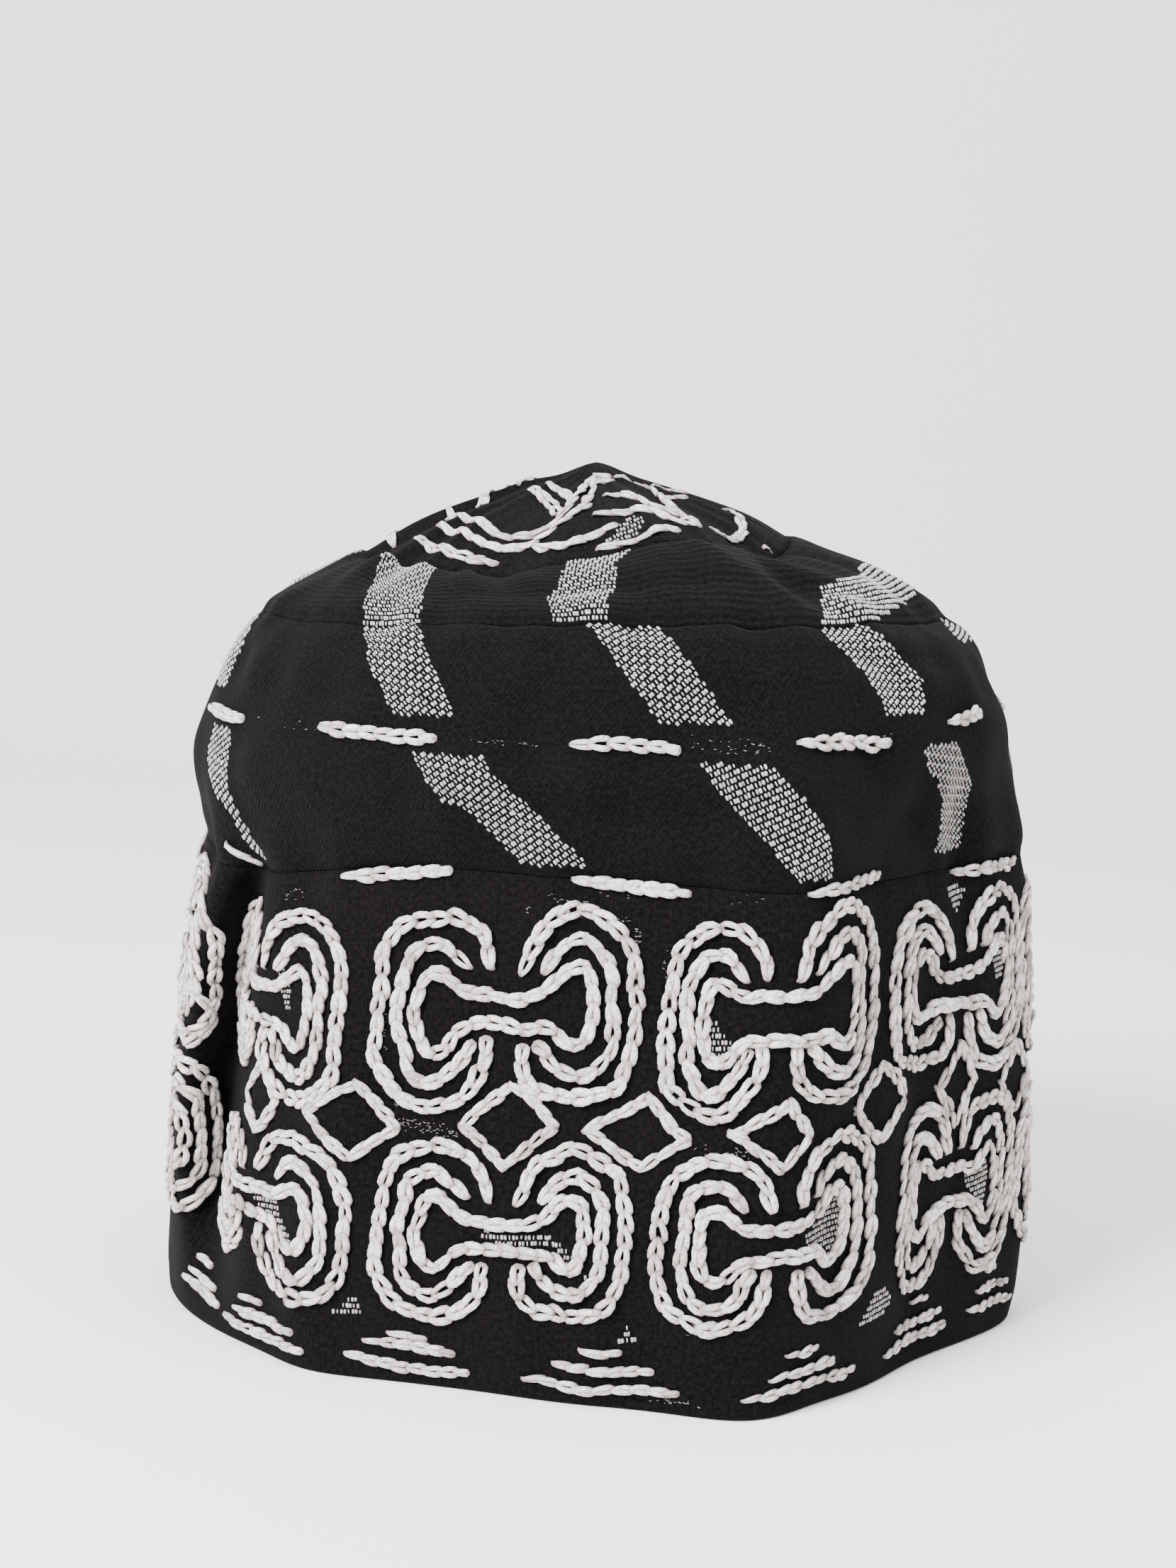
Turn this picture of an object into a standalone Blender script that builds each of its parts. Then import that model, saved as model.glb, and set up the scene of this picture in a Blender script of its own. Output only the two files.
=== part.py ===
# Embroidered cap: a tall, soft, hand-sewn cap of black cloth, standing on its rim.
#
# Frame: metres, +Z up. The origin is on the floor under the middle of the cap, and -Y is the front.
# A place on the cloth is given by two numbers. The bearing is the angle round the cap in degrees:
# 0 at the front, 90 at the right (+X), -90 at the left. The level counts the sections below, from 0
# at the rim to TOP_LEVEL at the edge of the round top, and one more to the peak.

import math

import bpy
import numpy as np

MM = 0.001

# Driving dimensions, in millimetres
MIDDLE = (0.12, 7.65, 0.0)
WALL = 2.0
SEAM_GAP = 0.3
PEAK_AT = (-9.0, 0.0, 184.0)
PEAK_HEIGHT = 3.2
PEAK_RADIUS = 7.0
TOP_CROWNING = 2.5

# The sections of the cap, one for each level. The rise tilts a section up towards the right. They
# are drawn about the head's axis, and the middle of the finished outline lies off it by MIDDLE.
SECTION_COLUMNS = ("height", "rise", "centre", "half_width", "front", "back")
SECTIONS = (
    (0.0, 0.0, 0.0, 95.0, 72.0, 90.0),
    (35.0, 0.0, 0.0, 95.5, 72.0, 90.0),
    (72.0, 0.0, 0.0, 94.0, 71.5, 89.0),
    (106.0, 0.0, -0.5, 91.0, 70.5, 87.0),
    (119.0, 1.5, -2.2, 91.2, 70.0, 86.0),
    (132.5, 3.5, -3.2, 87.8, 68.0, 82.0),
    (145.0, 4.5, -4.0, 83.0, 66.0, 77.0),
    (155.0, 4.5, -5.5, 75.5, 62.0, 70.0),
    (163.0, 6.0, -8.0, 64.0, 54.0, 60.0),
    (170.0, 7.0, -12.0, 46.0, 44.0, 47.0),
)
RISE_SPAN = 95.0
TOP_LEVEL = len(SECTIONS) - 1
BAND_SEAM = 3
SHOULDER_SEAM = 7

# Below this level, about 4 mm up, the wall stands upright on the rim's flat bottom.
HEM_LEVEL = 0.17

# Folds, dents and corners of the walls. Each runs up from one bearing at the rim to another at the
# band's seam, and on up. The cloth moves out by the given amount, or in where it is negative: along
# its own bearing, or along the push bearing where one is given.
FOLD_COLUMNS = ("bearing", "seam_bearing", "width", "out", "push", "low", "high", "fade")
FOLDS = {
    "front corner": (23, 27, 11, 7.0, None, -9, 5.5, 2.0),
    "left corner": (-44, -44, 8, 3.0, None, -9, 2.5, 1.0),
    "front flat": (-20, -20, 16, -3.0, None, -9, 3.5, 1.5),
    "right flat": (66, 66, 20, -11.0, None, -9, 4.5, 1.5),
    "right corner": (90, 90, 9, 3.0, None, -9, 3.5, 1.2),
    "left crease": (-68.5, -61.5, 4.5, -11.0, -8, 0.55, 3.0, 0.8),
    "left lobe": (-76.5, -70, 5.5, 8.0, -8, 0.8, 2.9, 1.0),
    "shoulder valley": (46, 46, 6, -3.5, None, 7.6, 8.8, 1.0),
    "back corner": (158, 152, 13, 5.0, None, -9, 5.0, 2.0),
    "back flat": (-158, -160, 18, -5.0, None, -9, 4.5, 1.5),
    "back left crease": (-118, -124, 7, -5.0, None, 1.0, 5.0, 1.5),
    "back right dent": (118, 112, 14, -4.0, None, 0.5, 3.6, 1.5),
}

# Places where the cloth is lifted, or sags where the amount is negative.
LIFT_COLUMNS = ("bearing", "width", "up", "level", "level_width")
LIFTS = {
    "left seam dip": (-66, 22, -7.0, 3, 1.0),
    "front ridge": (27, 20, 3.5, 9, 1.2),
    "front left hollow": (-22, 28, -3.5, 9, 1.0),
    "front seam rise": (0, 40, 1.2, 7, 1.0),
    "right front groove": (58, 18, -3.0, 9, 0.45),
    "back ridge": (-160, 24, 3.0, 9, 1.2),
}

# The seams pull the cloth in and down. The reach is how far, in levels, on each side.
SEAM_COLUMNS = ("level", "inward", "down", "reach")
SEAMS = (
    (BAND_SEAM, 1.0, 0.0, 0.14),
    (SHOULDER_SEAM, 0.9, 0.5, 0.22),
    (TOP_LEVEL, 0.0, 1.5, 0.16),
)

# The walls' columns are 5 degrees apart, and closer together where the left side is creased.
COLUMN_STEP = 5.0
CREASE_STEP = 2.5
CREASE_SPAN = (-90.0, -50.0)

CLOTH_BLACK = (0.012, 0.011, 0.013, 1.0)
CLOTH_CHARCOAL = (0.017, 0.016, 0.018, 1.0)


def named(columns, row):
    return dict(zip(columns, row))


def column_bearings():
    bearings = []
    bearing = -180.0
    while bearing < 180.0:
        bearings.append(bearing)
        creased = CREASE_SPAN[0] <= bearing < CREASE_SPAN[1]
        bearing += CREASE_STEP if creased else COLUMN_STEP
    return np.array(bearings)


def eased(share):
    share = min(max(share, 0.0), 1.0)
    return share * share * (3.0 - 2.0 * share)


def angle_between(bearing, other):
    return (bearing - other + 180.0) % 360.0 - 180.0


def section_value(column, level):
    """A section's value at any level, on a smooth curve through the table."""
    values = [row[SECTION_COLUMNS.index(column)] for row in SECTIONS]
    low = min(max(int(math.floor(level)), 0), TOP_LEVEL - 1)
    share = level - low
    before = values[max(low - 1, 0)]
    start = values[low]
    end = values[low + 1]
    after = values[min(low + 2, TOP_LEVEL)]
    slope = end - before
    bend = 2.0 * before - 5.0 * start + 4.0 * end - after
    twist = 3.0 * start - before - 3.0 * end + after
    return 0.5 * (2.0 * start + slope * share + bend * share**2 + twist * share**3)


def plan_point(bearings, level):
    """The section's outline: two half-ellipses that meet at the sides."""
    sine = np.sin(np.radians(bearings))
    cosine = np.cos(np.radians(bearings))
    half_width = section_value("half_width", level)
    half_depth = np.where(cosine > 0.0, section_value("front", level), section_value("back", level))
    radius = 1.0 / np.sqrt((sine / half_width) ** 2 + (cosine / half_depth) ** 2)
    return section_value("centre", level) + radius * sine, -radius * cosine


def fold_shift(bearings, level):
    """How far the folds move the outline, along X and Y."""
    shift_x = np.zeros_like(bearings)
    shift_y = np.zeros_like(bearings)
    climb = min(level / BAND_SEAM, 1.0)
    for row in FOLDS.values():
        fold = named(FOLD_COLUMNS, row)
        centre = fold["bearing"] + (fold["seam_bearing"] - fold["bearing"]) * climb
        strength = eased((level - fold["low"]) / fold["fade"] + 0.5)
        strength *= eased((fold["high"] - level) / fold["fade"] + 0.5)
        across = angle_between(bearings, centre) / fold["width"]
        move = fold["out"] * strength * np.exp(-(across**2))
        way = np.radians(bearings if fold["push"] is None else fold["push"])
        shift_x += move * np.sin(way)
        shift_y -= move * np.cos(way)
    return shift_x, shift_y


def lift(bearings, level):
    total = np.zeros_like(bearings)
    for row in LIFTS.values():
        place = named(LIFT_COLUMNS, row)
        across = angle_between(bearings, place["bearing"]) / place["width"]
        along = (level - place["level"]) / place["level_width"]
        total += place["up"] * np.exp(-(across**2) - along**2)
    return total


def seam_pull(level):
    """How far the nearest seams pull the cloth in and down."""
    inward = 0.0
    down = 0.0
    for row in SEAMS:
        seam = named(SEAM_COLUMNS, row)
        nearness = math.exp(-(((level - seam["level"]) / seam["reach"]) ** 2))
        inward += seam["inward"] * nearness
        down += seam["down"] * nearness
    return inward, down


def wall_ring(bearings, level):
    """One closed ring of points on the outside of the walls, in millimetres."""
    plan_level = max(level, HEM_LEVEL)
    x, y = plan_point(bearings, plan_level)
    shift_x, shift_y = fold_shift(bearings, plan_level)
    x = x + shift_x
    y = y + shift_y
    tilt = section_value("rise", level) * min(level / BAND_SEAM, 1.0)
    z = section_value("height", level) + tilt * x / RISE_SPAN
    if level > 0.0:
        z = z + lift(bearings, level)
    inward, down = seam_pull(level)
    sine = np.sin(np.radians(bearings))
    cosine = np.cos(np.radians(bearings))
    return np.stack([x - inward * sine, y + inward * cosine, z - down], axis=1)


def top_ring(bearings, share):
    """A ring on the round top, from its edge at share 0 to the peak at share 1."""
    edge = wall_ring(bearings, TOP_LEVEL)
    ring = edge + (np.array(PEAK_AT) - edge) * share
    away = np.hypot(ring[:, 0] - PEAK_AT[0], ring[:, 1] - PEAK_AT[1])
    crowning = TOP_CROWNING * 4.0 * share * (1.0 - share)
    edge_pull = seam_pull(TOP_LEVEL)[1] * (1.0 - share) - seam_pull(TOP_LEVEL + share)[1]
    ring[:, 2] += crowning + edge_pull + PEAK_HEIGHT * np.exp(-((away / PEAK_RADIUS) ** 2))
    return ring


def ring_at(bearings, level):
    if level <= TOP_LEVEL:
        return wall_ring(bearings, level)
    return top_ring(bearings, level - TOP_LEVEL)


def seam_ring(bearings, level, side):
    """The ring half a seam gap above the seam (side 1) or below it (side -1)."""
    step = 0.02
    seam = ring_at(bearings, level)
    along = ring_at(bearings, level + side * step) - seam
    length = np.linalg.norm(along, axis=1, keepdims=True)
    return seam + along / length * (SEAM_GAP / 2.0)


def cloth_material(name, colour, roughness):
    material = bpy.data.materials.new(name)
    material.use_nodes = True
    shader = material.node_tree.nodes["Principled BSDF"]
    shader.inputs["Base Color"].default_value = colour
    shader.inputs["Roughness"].default_value = roughness
    shader.inputs["Metallic"].default_value = 0.0
    return material


def wall_piece(name, rings, peak, material, collection):
    """A cloth wall: an open surface lofted through rings, thickened inwards."""
    count = len(rings[0])
    points = [tuple(point * MM) for ring in rings for point in ring]
    faces = []
    for row in range(len(rings) - 1):
        for column in range(count):
            right = (column + 1) % count
            low = row * count
            high = low + count
            faces.append((low + column, low + right, high + right, high + column))
    if peak is not None:
        points.append(tuple(peak * MM))
        last = (len(rings) - 1) * count
        for column in range(count):
            faces.append((last + column, last + (column + 1) % count, len(points) - 1))
    mesh = bpy.data.meshes.new(name)
    mesh.from_pydata(points, [], faces)
    mesh.materials.append(material)
    mesh.shade_smooth()
    piece = bpy.data.objects.new(name, mesh)
    piece.location = [-offset * MM for offset in MIDDLE]
    collection.objects.link(piece)
    shell = piece.modifiers.new("wall", "SOLIDIFY")
    shell.thickness = WALL * MM
    shell.offset = -1.0
    shell.use_rim = True
    return piece


def embroidered_band(bearings, collection):
    """The tall lower band, from the rim to the band's seam."""
    levels = (0.0, HEM_LEVEL, 0.5, 0.95, 1.4, 1.85, 2.25, 2.6, 2.86)
    rings = [ring_at(bearings, level) for level in levels]
    rings.append(seam_ring(bearings, BAND_SEAM, -1))
    material = cloth_material("band_cloth", CLOTH_BLACK, 0.9)
    return wall_piece("embroidered_band", rings, None, material, collection)


def side_tier(bearings, collection):
    """The plain cloth from the band's seam to the shoulder's seam."""
    levels = (3.12, 3.45, 3.95, 4.5, 5.1, 5.7, 6.3, 6.75)
    rings = [seam_ring(bearings, BAND_SEAM, 1)]
    rings += [ring_at(bearings, level) for level in levels]
    rings.append(seam_ring(bearings, SHOULDER_SEAM, -1))
    material = cloth_material("side_cloth", CLOTH_CHARCOAL, 0.88)
    return wall_piece("side_tier", rings, None, material, collection)


def crown_shoulder(bearings, collection):
    """The puffed ring between the shoulder's seam and the round top."""
    levels = (7.2, 7.6, 8.1, 8.6, 8.85)
    rings = [seam_ring(bearings, SHOULDER_SEAM, 1)]
    rings += [ring_at(bearings, level) for level in levels]
    rings.append(seam_ring(bearings, TOP_LEVEL, -1))
    material = cloth_material("shoulder_cloth", CLOTH_CHARCOAL, 0.86)
    return wall_piece("crown_shoulder", rings, None, material, collection)


def crown_top(bearings, collection):
    """The round top, rising to a soft peak."""
    shares = (0.1, 0.32, 0.58, 0.8, 0.92)
    rings = [seam_ring(bearings, TOP_LEVEL, 1)]
    rings += [top_ring(bearings, share) for share in shares]
    peak = np.array(PEAK_AT) + np.array([0.0, 0.0, PEAK_HEIGHT])
    material = cloth_material("top_cloth", CLOTH_BLACK, 0.88)
    return wall_piece("crown_top", rings, peak, material, collection)


def main():
    for item in list(bpy.data.objects):
        bpy.data.objects.remove(item, do_unlink=True)
    collection = bpy.data.collections.new("embroidered_cap")
    bpy.context.scene.collection.children.link(collection)
    bearings = column_bearings()
    embroidered_band(bearings, collection)
    side_tier(bearings, collection)
    crown_shoulder(bearings, collection)
    crown_top(bearings, collection)


main()
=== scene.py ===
# The looks of an embroidered cap: soft black cloth with woven check stripes, chain-stitch scrolls,
# and a softly peaked crown.
#
# Frame: metres, +Z up, the floor at z = 0, -Y the front, +X the right. The cloth's form is worked out
# in millimetres, about the head's axis, and MIDDLE is how far the cap's middle lies off that axis.
# A place on the cloth is a bearing (degrees, 0 front, 90 right) and a level (0 rim to 9 the edge of the
# round top, 10 the peak). Patterns are drawn flat, in millimetres: "across" is the length of cloth
# from the front towards the right, and "up" the length of cloth above the rim.

import math

import bpy
import numpy as np
from mathutils import Matrix, Vector


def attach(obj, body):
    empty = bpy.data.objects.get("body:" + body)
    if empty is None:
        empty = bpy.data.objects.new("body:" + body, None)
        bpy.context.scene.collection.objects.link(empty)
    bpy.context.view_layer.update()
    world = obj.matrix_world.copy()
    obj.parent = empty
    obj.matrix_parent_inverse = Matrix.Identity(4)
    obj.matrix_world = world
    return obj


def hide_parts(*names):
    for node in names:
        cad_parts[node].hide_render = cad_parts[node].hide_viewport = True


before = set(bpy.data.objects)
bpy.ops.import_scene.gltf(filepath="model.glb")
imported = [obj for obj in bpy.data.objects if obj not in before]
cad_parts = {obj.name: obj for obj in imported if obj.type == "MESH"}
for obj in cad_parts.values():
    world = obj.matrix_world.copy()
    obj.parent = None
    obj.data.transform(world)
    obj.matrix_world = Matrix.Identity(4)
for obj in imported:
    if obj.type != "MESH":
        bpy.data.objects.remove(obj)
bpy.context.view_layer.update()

MM = 0.001

# The seed of each piece's random draws, and what is added to it for the unevenness of drawn lines.
SEEDS = {
    "scrolls_upper": 11, "scrolls_lower": 12, "diamonds": 21, "rim_stacks": 31, "tier_dashes": 41,
    "top_scrolls": 51, "check_lower": 61, "check_upper": 62, "check_shoulder": 63,
    "check_band": 71, "check_top": 72,
}
HAND_SEED = 100

# The cap's form
MIDDLE = (0.12, 7.65, 0.0)
WALL = 2.0
PEAK_AT = (-9.0, 0.0, 184.0)
PEAK_HEIGHT = 3.2
PEAK_RADIUS = 7.0
TOP_CROWNING = 2.5

SECTION_COLUMNS = ("height", "rise", "centre", "half_width", "front", "back")
SECTIONS = (
    (0.0, 0.0, 0.0, 95.0, 72.0, 90.0),
    (35.0, 0.0, 0.0, 95.5, 72.0, 90.0),
    (72.0, 0.0, 0.0, 94.0, 71.5, 89.0),
    (106.0, 0.0, -0.5, 91.0, 70.5, 87.0),
    (119.0, 1.5, -2.2, 91.2, 70.0, 86.0),
    (132.5, 3.5, -3.2, 87.8, 68.0, 82.0),
    (145.0, 4.5, -4.0, 83.0, 66.0, 77.0),
    (155.0, 4.5, -5.5, 75.5, 62.0, 70.0),
    (163.0, 6.0, -8.0, 64.0, 54.0, 60.0),
    (170.0, 7.0, -12.0, 46.0, 44.0, 47.0),
)
RISE_SPAN = 95.0
TOP_LEVEL = len(SECTIONS) - 1
PEAK_LEVEL = TOP_LEVEL + 1
BAND_SEAM = 3
SHOULDER_SEAM = 7
HEM_LEVEL = 0.17

FOLD_COLUMNS = ("bearing", "seam_bearing", "width", "out", "push", "low", "high", "fade")
FOLDS = {
    "front corner": (23, 27, 11, 7.0, None, -9, 5.5, 2.0),
    "left corner": (-44, -44, 8, 3.0, None, -9, 2.5, 1.0),
    "front flat": (-20, -20, 16, -3.0, None, -9, 3.5, 1.5),
    "right flat": (66, 66, 20, -11.0, None, -9, 4.5, 1.5),
    "right corner": (90, 90, 9, 3.0, None, -9, 3.5, 1.2),
    "left crease": (-68.5, -61.5, 4.5, -11.0, -8, 0.55, 3.0, 0.8),
    "left lobe": (-76.5, -70, 5.5, 8.0, -8, 0.8, 2.9, 1.0),
    "shoulder valley": (46, 46, 6, -3.5, None, 7.6, 8.8, 1.0),
    "back corner": (158, 152, 13, 5.0, None, -9, 5.0, 2.0),
    "back flat": (-158, -160, 18, -5.0, None, -9, 4.5, 1.5),
    "back left crease": (-118, -124, 7, -5.0, None, 1.0, 5.0, 1.5),
    "back right dent": (118, 112, 14, -4.0, None, 0.5, 3.6, 1.5),
}

LIFT_COLUMNS = ("bearing", "width", "up", "level", "level_width")
LIFTS = {
    "left seam dip": (-66, 22, -7.0, 3, 1.0),
    "front ridge": (27, 20, 3.5, 9, 1.2),
    "front left hollow": (-22, 28, -3.5, 9, 1.0),
    "front seam rise": (0, 40, 1.2, 7, 1.0),
    "right front groove": (58, 18, -3.0, 9, 0.45),
    "back ridge": (-160, 24, 3.0, 9, 1.2),
}

SEAM_COLUMNS = ("level", "inward", "down", "reach")
SEAMS = (
    (BAND_SEAM, 1.0, 0.0, 0.14),
    (SHOULDER_SEAM, 0.9, 0.5, 0.22),
    (TOP_LEVEL, 0.0, 1.5, 0.16),
)

# Creases too fine for the solid walls: lens-shaped, with the tilt in levels for each degree.
CREASE_COLUMNS = ("bearing", "level", "half_length", "half_height", "tilt", "out")
CREASES = {
    "lower tier puff": (-6, 4.45, 34, 0.26, 0.004, 0.9),
    "lower tier fold": (-4, 3.95, 30, 0.20, 0.004, -0.7),
    "stripe tuck": (-24, 4.18, 9, 0.10, -0.012, -1.0),
    "lower right puff": (48, 4.35, 22, 0.30, 0.0, 0.8),
    "left puff": (-58, 4.3, 12, 0.35, 0.01, 0.9),
    "upper tier puff": (2, 6.1, 40, 0.35, 0.0, 0.8),
    "upper left fold": (-40, 5.8, 14, 0.22, 0.02, -0.6),
    "upper right fold": (52, 6.3, 16, 0.24, -0.012, -0.8),
    "shoulder fold": (8, 7.9, 26, 0.16, 0.0, -0.6),
    "shoulder puff": (-4, 8.4, 34, 0.3, 0.0, 0.9),
    "right shoulder tuck": (52, 7.8, 7, 0.28, -0.03, -1.2),
    "back tier puff": (170, 4.4, 40, 0.3, 0.002, 0.9),
    "back tier fold": (150, 5.9, 26, 0.24, -0.008, -0.8),
    "back left fold": (-140, 4.0, 22, 0.22, 0.01, -0.8),
    "back shoulder tuck": (-130, 8.0, 9, 0.26, 0.03, -1.1),
    "right tier swell": (92, 4.15, 18, 0.45, 0.0, 1.0),
    "left tier swell": (-88, 4.35, 16, 0.42, 0.0, 1.2),
    "right tier hollow": (95, 5.7, 18, 0.50, 0.0, -1.3),
    "right crest": (98, 8.95, 24, 0.35, 0.0, 1.6),
    "left peak swell": (-60, 9.72, 60, 0.14, 0.0, 1.0),
}

# Soft waves all over the cloth, and short gathers at the seams: how many, how often each comes round
# the cap, how high each is in millimetres, and how fast a wave climbs.
RIPPLE_SEED = 5
RIPPLE_COUNT = 46
RIPPLE_TURNS = (3, 34)
RIPPLE_HEIGHT = 0.16
RIPPLE_CLIMB = 2.4
GATHER_COUNT = 7
GATHER_TURNS = (22, 58)
GATHER_HEIGHT = 0.22 / 2.6
GATHER_REACH = 2.2

# The level at which the relief starts, and the spans over which it grows there and fades at the peak.
RELIEF_START = 0.02
RELIEF_GROWTH = 0.25
RELIEF_FADE = 0.3
RIM_ROUNDING = 1.1

# How many rows of the lattice below the round top are kept from turning back under it, and how far
# each stands outside the next one up.
UPRIGHT_ROWS = 15
UPRIGHT_STEP = 0.02

# The lattice on which the form is worked out, and from which everything on the cloth is placed.
LATTICE_STEP = 0.02
LATTICE_COLUMNS = 1440


def named(columns, row):
    return dict(zip(columns, row))


def each(columns, table):
    """The rows of a table, with the names of its columns."""
    return [named(columns, row) for row in (table.values() if isinstance(table, dict) else table)]


def eased(share):
    share = np.clip(share, 0.0, 1.0)
    return share * share * (3.0 - 2.0 * share)


def angle_between(bearing, other):
    return (bearing - other + 180.0) % 360.0 - 180.0


def curve_between(before, start, end, after, share):
    """A smooth curve from start to end, which also heeds the values on either side of them."""
    slope = end - before
    bend = 2.0 * before - 5.0 * start + 4.0 * end - after
    twist = 3.0 * start - before - 3.0 * end + after
    return 0.5 * (2.0 * start + slope * share + bend * share**2 + twist * share**3)


def section_value(column, level):
    """A section's value at any level, on a smooth curve through the table."""
    values = [row[SECTION_COLUMNS.index(column)] for row in SECTIONS]
    low = min(max(int(math.floor(level)), 0), TOP_LEVEL - 1)
    before = values[max(low - 1, 0)]
    after = values[min(low + 2, TOP_LEVEL)]
    return curve_between(before, values[low], values[low + 1], after, level - low)


def plan_point(bearings, level):
    """The section's outline: two half-ellipses that meet at the sides."""
    sine = np.sin(np.radians(bearings))
    cosine = np.cos(np.radians(bearings))
    half_width = section_value("half_width", level)
    half_depth = np.where(cosine > 0.0, section_value("front", level), section_value("back", level))
    radius = 1.0 / np.sqrt((sine / half_width) ** 2 + (cosine / half_depth) ** 2)
    return section_value("centre", level) + radius * sine, -radius * cosine


def fold_shift(bearings, level):
    """How far the folds move the outline, along X and Y."""
    shift_x = np.zeros_like(bearings)
    shift_y = np.zeros_like(bearings)
    climb = min(level / BAND_SEAM, 1.0)
    for fold in each(FOLD_COLUMNS, FOLDS):
        centre = fold["bearing"] + (fold["seam_bearing"] - fold["bearing"]) * climb
        strength = eased((level - fold["low"]) / fold["fade"] + 0.5)
        strength *= eased((fold["high"] - level) / fold["fade"] + 0.5)
        across = angle_between(bearings, centre) / fold["width"]
        move = fold["out"] * strength * np.exp(-(across**2))
        way = np.radians(bearings if fold["push"] is None else fold["push"])
        shift_x += move * np.sin(way)
        shift_y -= move * np.cos(way)
    return shift_x, shift_y


def lift(bearings, level):
    total = np.zeros_like(bearings)
    for place in each(LIFT_COLUMNS, LIFTS):
        across = angle_between(bearings, place["bearing"]) / place["width"]
        along = (level - place["level"]) / place["level_width"]
        total += place["up"] * np.exp(-(across**2) - along**2)
    return total


def seam_pull(level):
    """How far the nearest seams pull the cloth in and down."""
    inward = 0.0
    down = 0.0
    for seam in each(SEAM_COLUMNS, SEAMS):
        nearness = math.exp(-(((level - seam["level"]) / seam["reach"]) ** 2))
        inward += seam["inward"] * nearness
        down += seam["down"] * nearness
    return inward, down


def wall_ring(bearings, level):
    """One closed ring of points on the outside of the walls."""
    plan_level = max(level, HEM_LEVEL)
    x, y = plan_point(bearings, plan_level)
    shift_x, shift_y = fold_shift(bearings, plan_level)
    x = x + shift_x
    y = y + shift_y
    tilt = section_value("rise", level) * min(level / BAND_SEAM, 1.0)
    z = section_value("height", level) + tilt * x / RISE_SPAN
    if level > 0.0:
        z = z + lift(bearings, level)
    inward, down = seam_pull(level)
    sine = np.sin(np.radians(bearings))
    cosine = np.cos(np.radians(bearings))
    return np.stack([x - inward * sine, y + inward * cosine, z - down], axis=1)


def top_ring(bearings, share):
    """A ring on the round top, from its edge at share 0 to the peak at share 1."""
    edge = wall_ring(bearings, TOP_LEVEL)
    ring = edge + (np.array(PEAK_AT) - edge) * share
    away = np.hypot(ring[:, 0] - PEAK_AT[0], ring[:, 1] - PEAK_AT[1])
    crowning = TOP_CROWNING * 4.0 * share * (1.0 - share)
    edge_pull = seam_pull(TOP_LEVEL)[1] * (1.0 - share) - seam_pull(TOP_LEVEL + share)[1]
    ring[:, 2] += crowning + edge_pull + PEAK_HEIGHT * np.exp(-((away / PEAK_RADIUS) ** 2))
    return ring


def ring_at(bearings, level):
    if level <= TOP_LEVEL:
        return wall_ring(bearings, level)
    return top_ring(bearings, level - TOP_LEVEL)


def slope_normals(points):
    """The outward normals of a lattice of points, whose columns close up on themselves."""
    along = np.empty_like(points)
    along[:, 1:-1] = points[:, 2:] - points[:, :-2]
    along[:, 0] = along[:, -1] = points[:, 1] - points[:, -2]
    rising = np.gradient(points, axis=0)
    normals = np.cross(along, rising)
    length = np.linalg.norm(normals, axis=2, keepdims=True)
    normals = normals / np.maximum(length, 1e-9)
    normals[length[..., 0] < 1e-6] = (0.0, 0.0, 1.0)
    return normals


def ripples(bearings, levels):
    """Soft unevenness of the cloth: slow waves in all directions that close round the cap."""
    rng = np.random.default_rng(RIPPLE_SEED)
    total = np.zeros((len(levels), len(bearings)))
    for _ in range(RIPPLE_COUNT):
        turns = rng.integers(*RIPPLE_TURNS)
        climb = rng.normal(0.0, RIPPLE_CLIMB)
        phase = rng.uniform(0.0, 2.0 * math.pi)
        # the shorter the wave, the lower it is
        height = RIPPLE_HEIGHT * (8.0 / (turns + 5.0)) ** 0.5
        angle = np.radians(bearings)[None, :] * turns + climb * levels[:, None] + phase
        total += height * np.sin(angle)
    return total


def creases(bearings, levels):
    total = np.zeros((len(levels), len(bearings)))
    for crease in each(CREASE_COLUMNS, CREASES):
        across = angle_between(bearings, crease["bearing"])[None, :]
        middle = crease["level"] + crease["tilt"] * across
        height = (levels[:, None] - middle) / crease["half_height"]
        total += crease["out"] * np.exp(-((across / crease["half_length"]) ** 2) - height**2)
    return total


def puckers(bearings, levels):
    """Short gathers that run into each seam."""
    rng = np.random.default_rng(RIPPLE_SEED + 1)
    total = np.zeros((len(levels), len(bearings)))
    for seam in each(SEAM_COLUMNS, SEAMS):
        gathers = np.zeros(len(bearings))
        for _ in range(GATHER_COUNT):
            turns = rng.integers(*GATHER_TURNS)
            gathers += np.sin(np.radians(bearings) * turns + rng.uniform(0.0, 2.0 * math.pi))
        nearness = np.exp(-(((levels - seam["level"]) / (GATHER_REACH * seam["reach"])) ** 2))
        total += GATHER_HEIGHT * nearness[:, None] * gathers[None, :]
    return total


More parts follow.
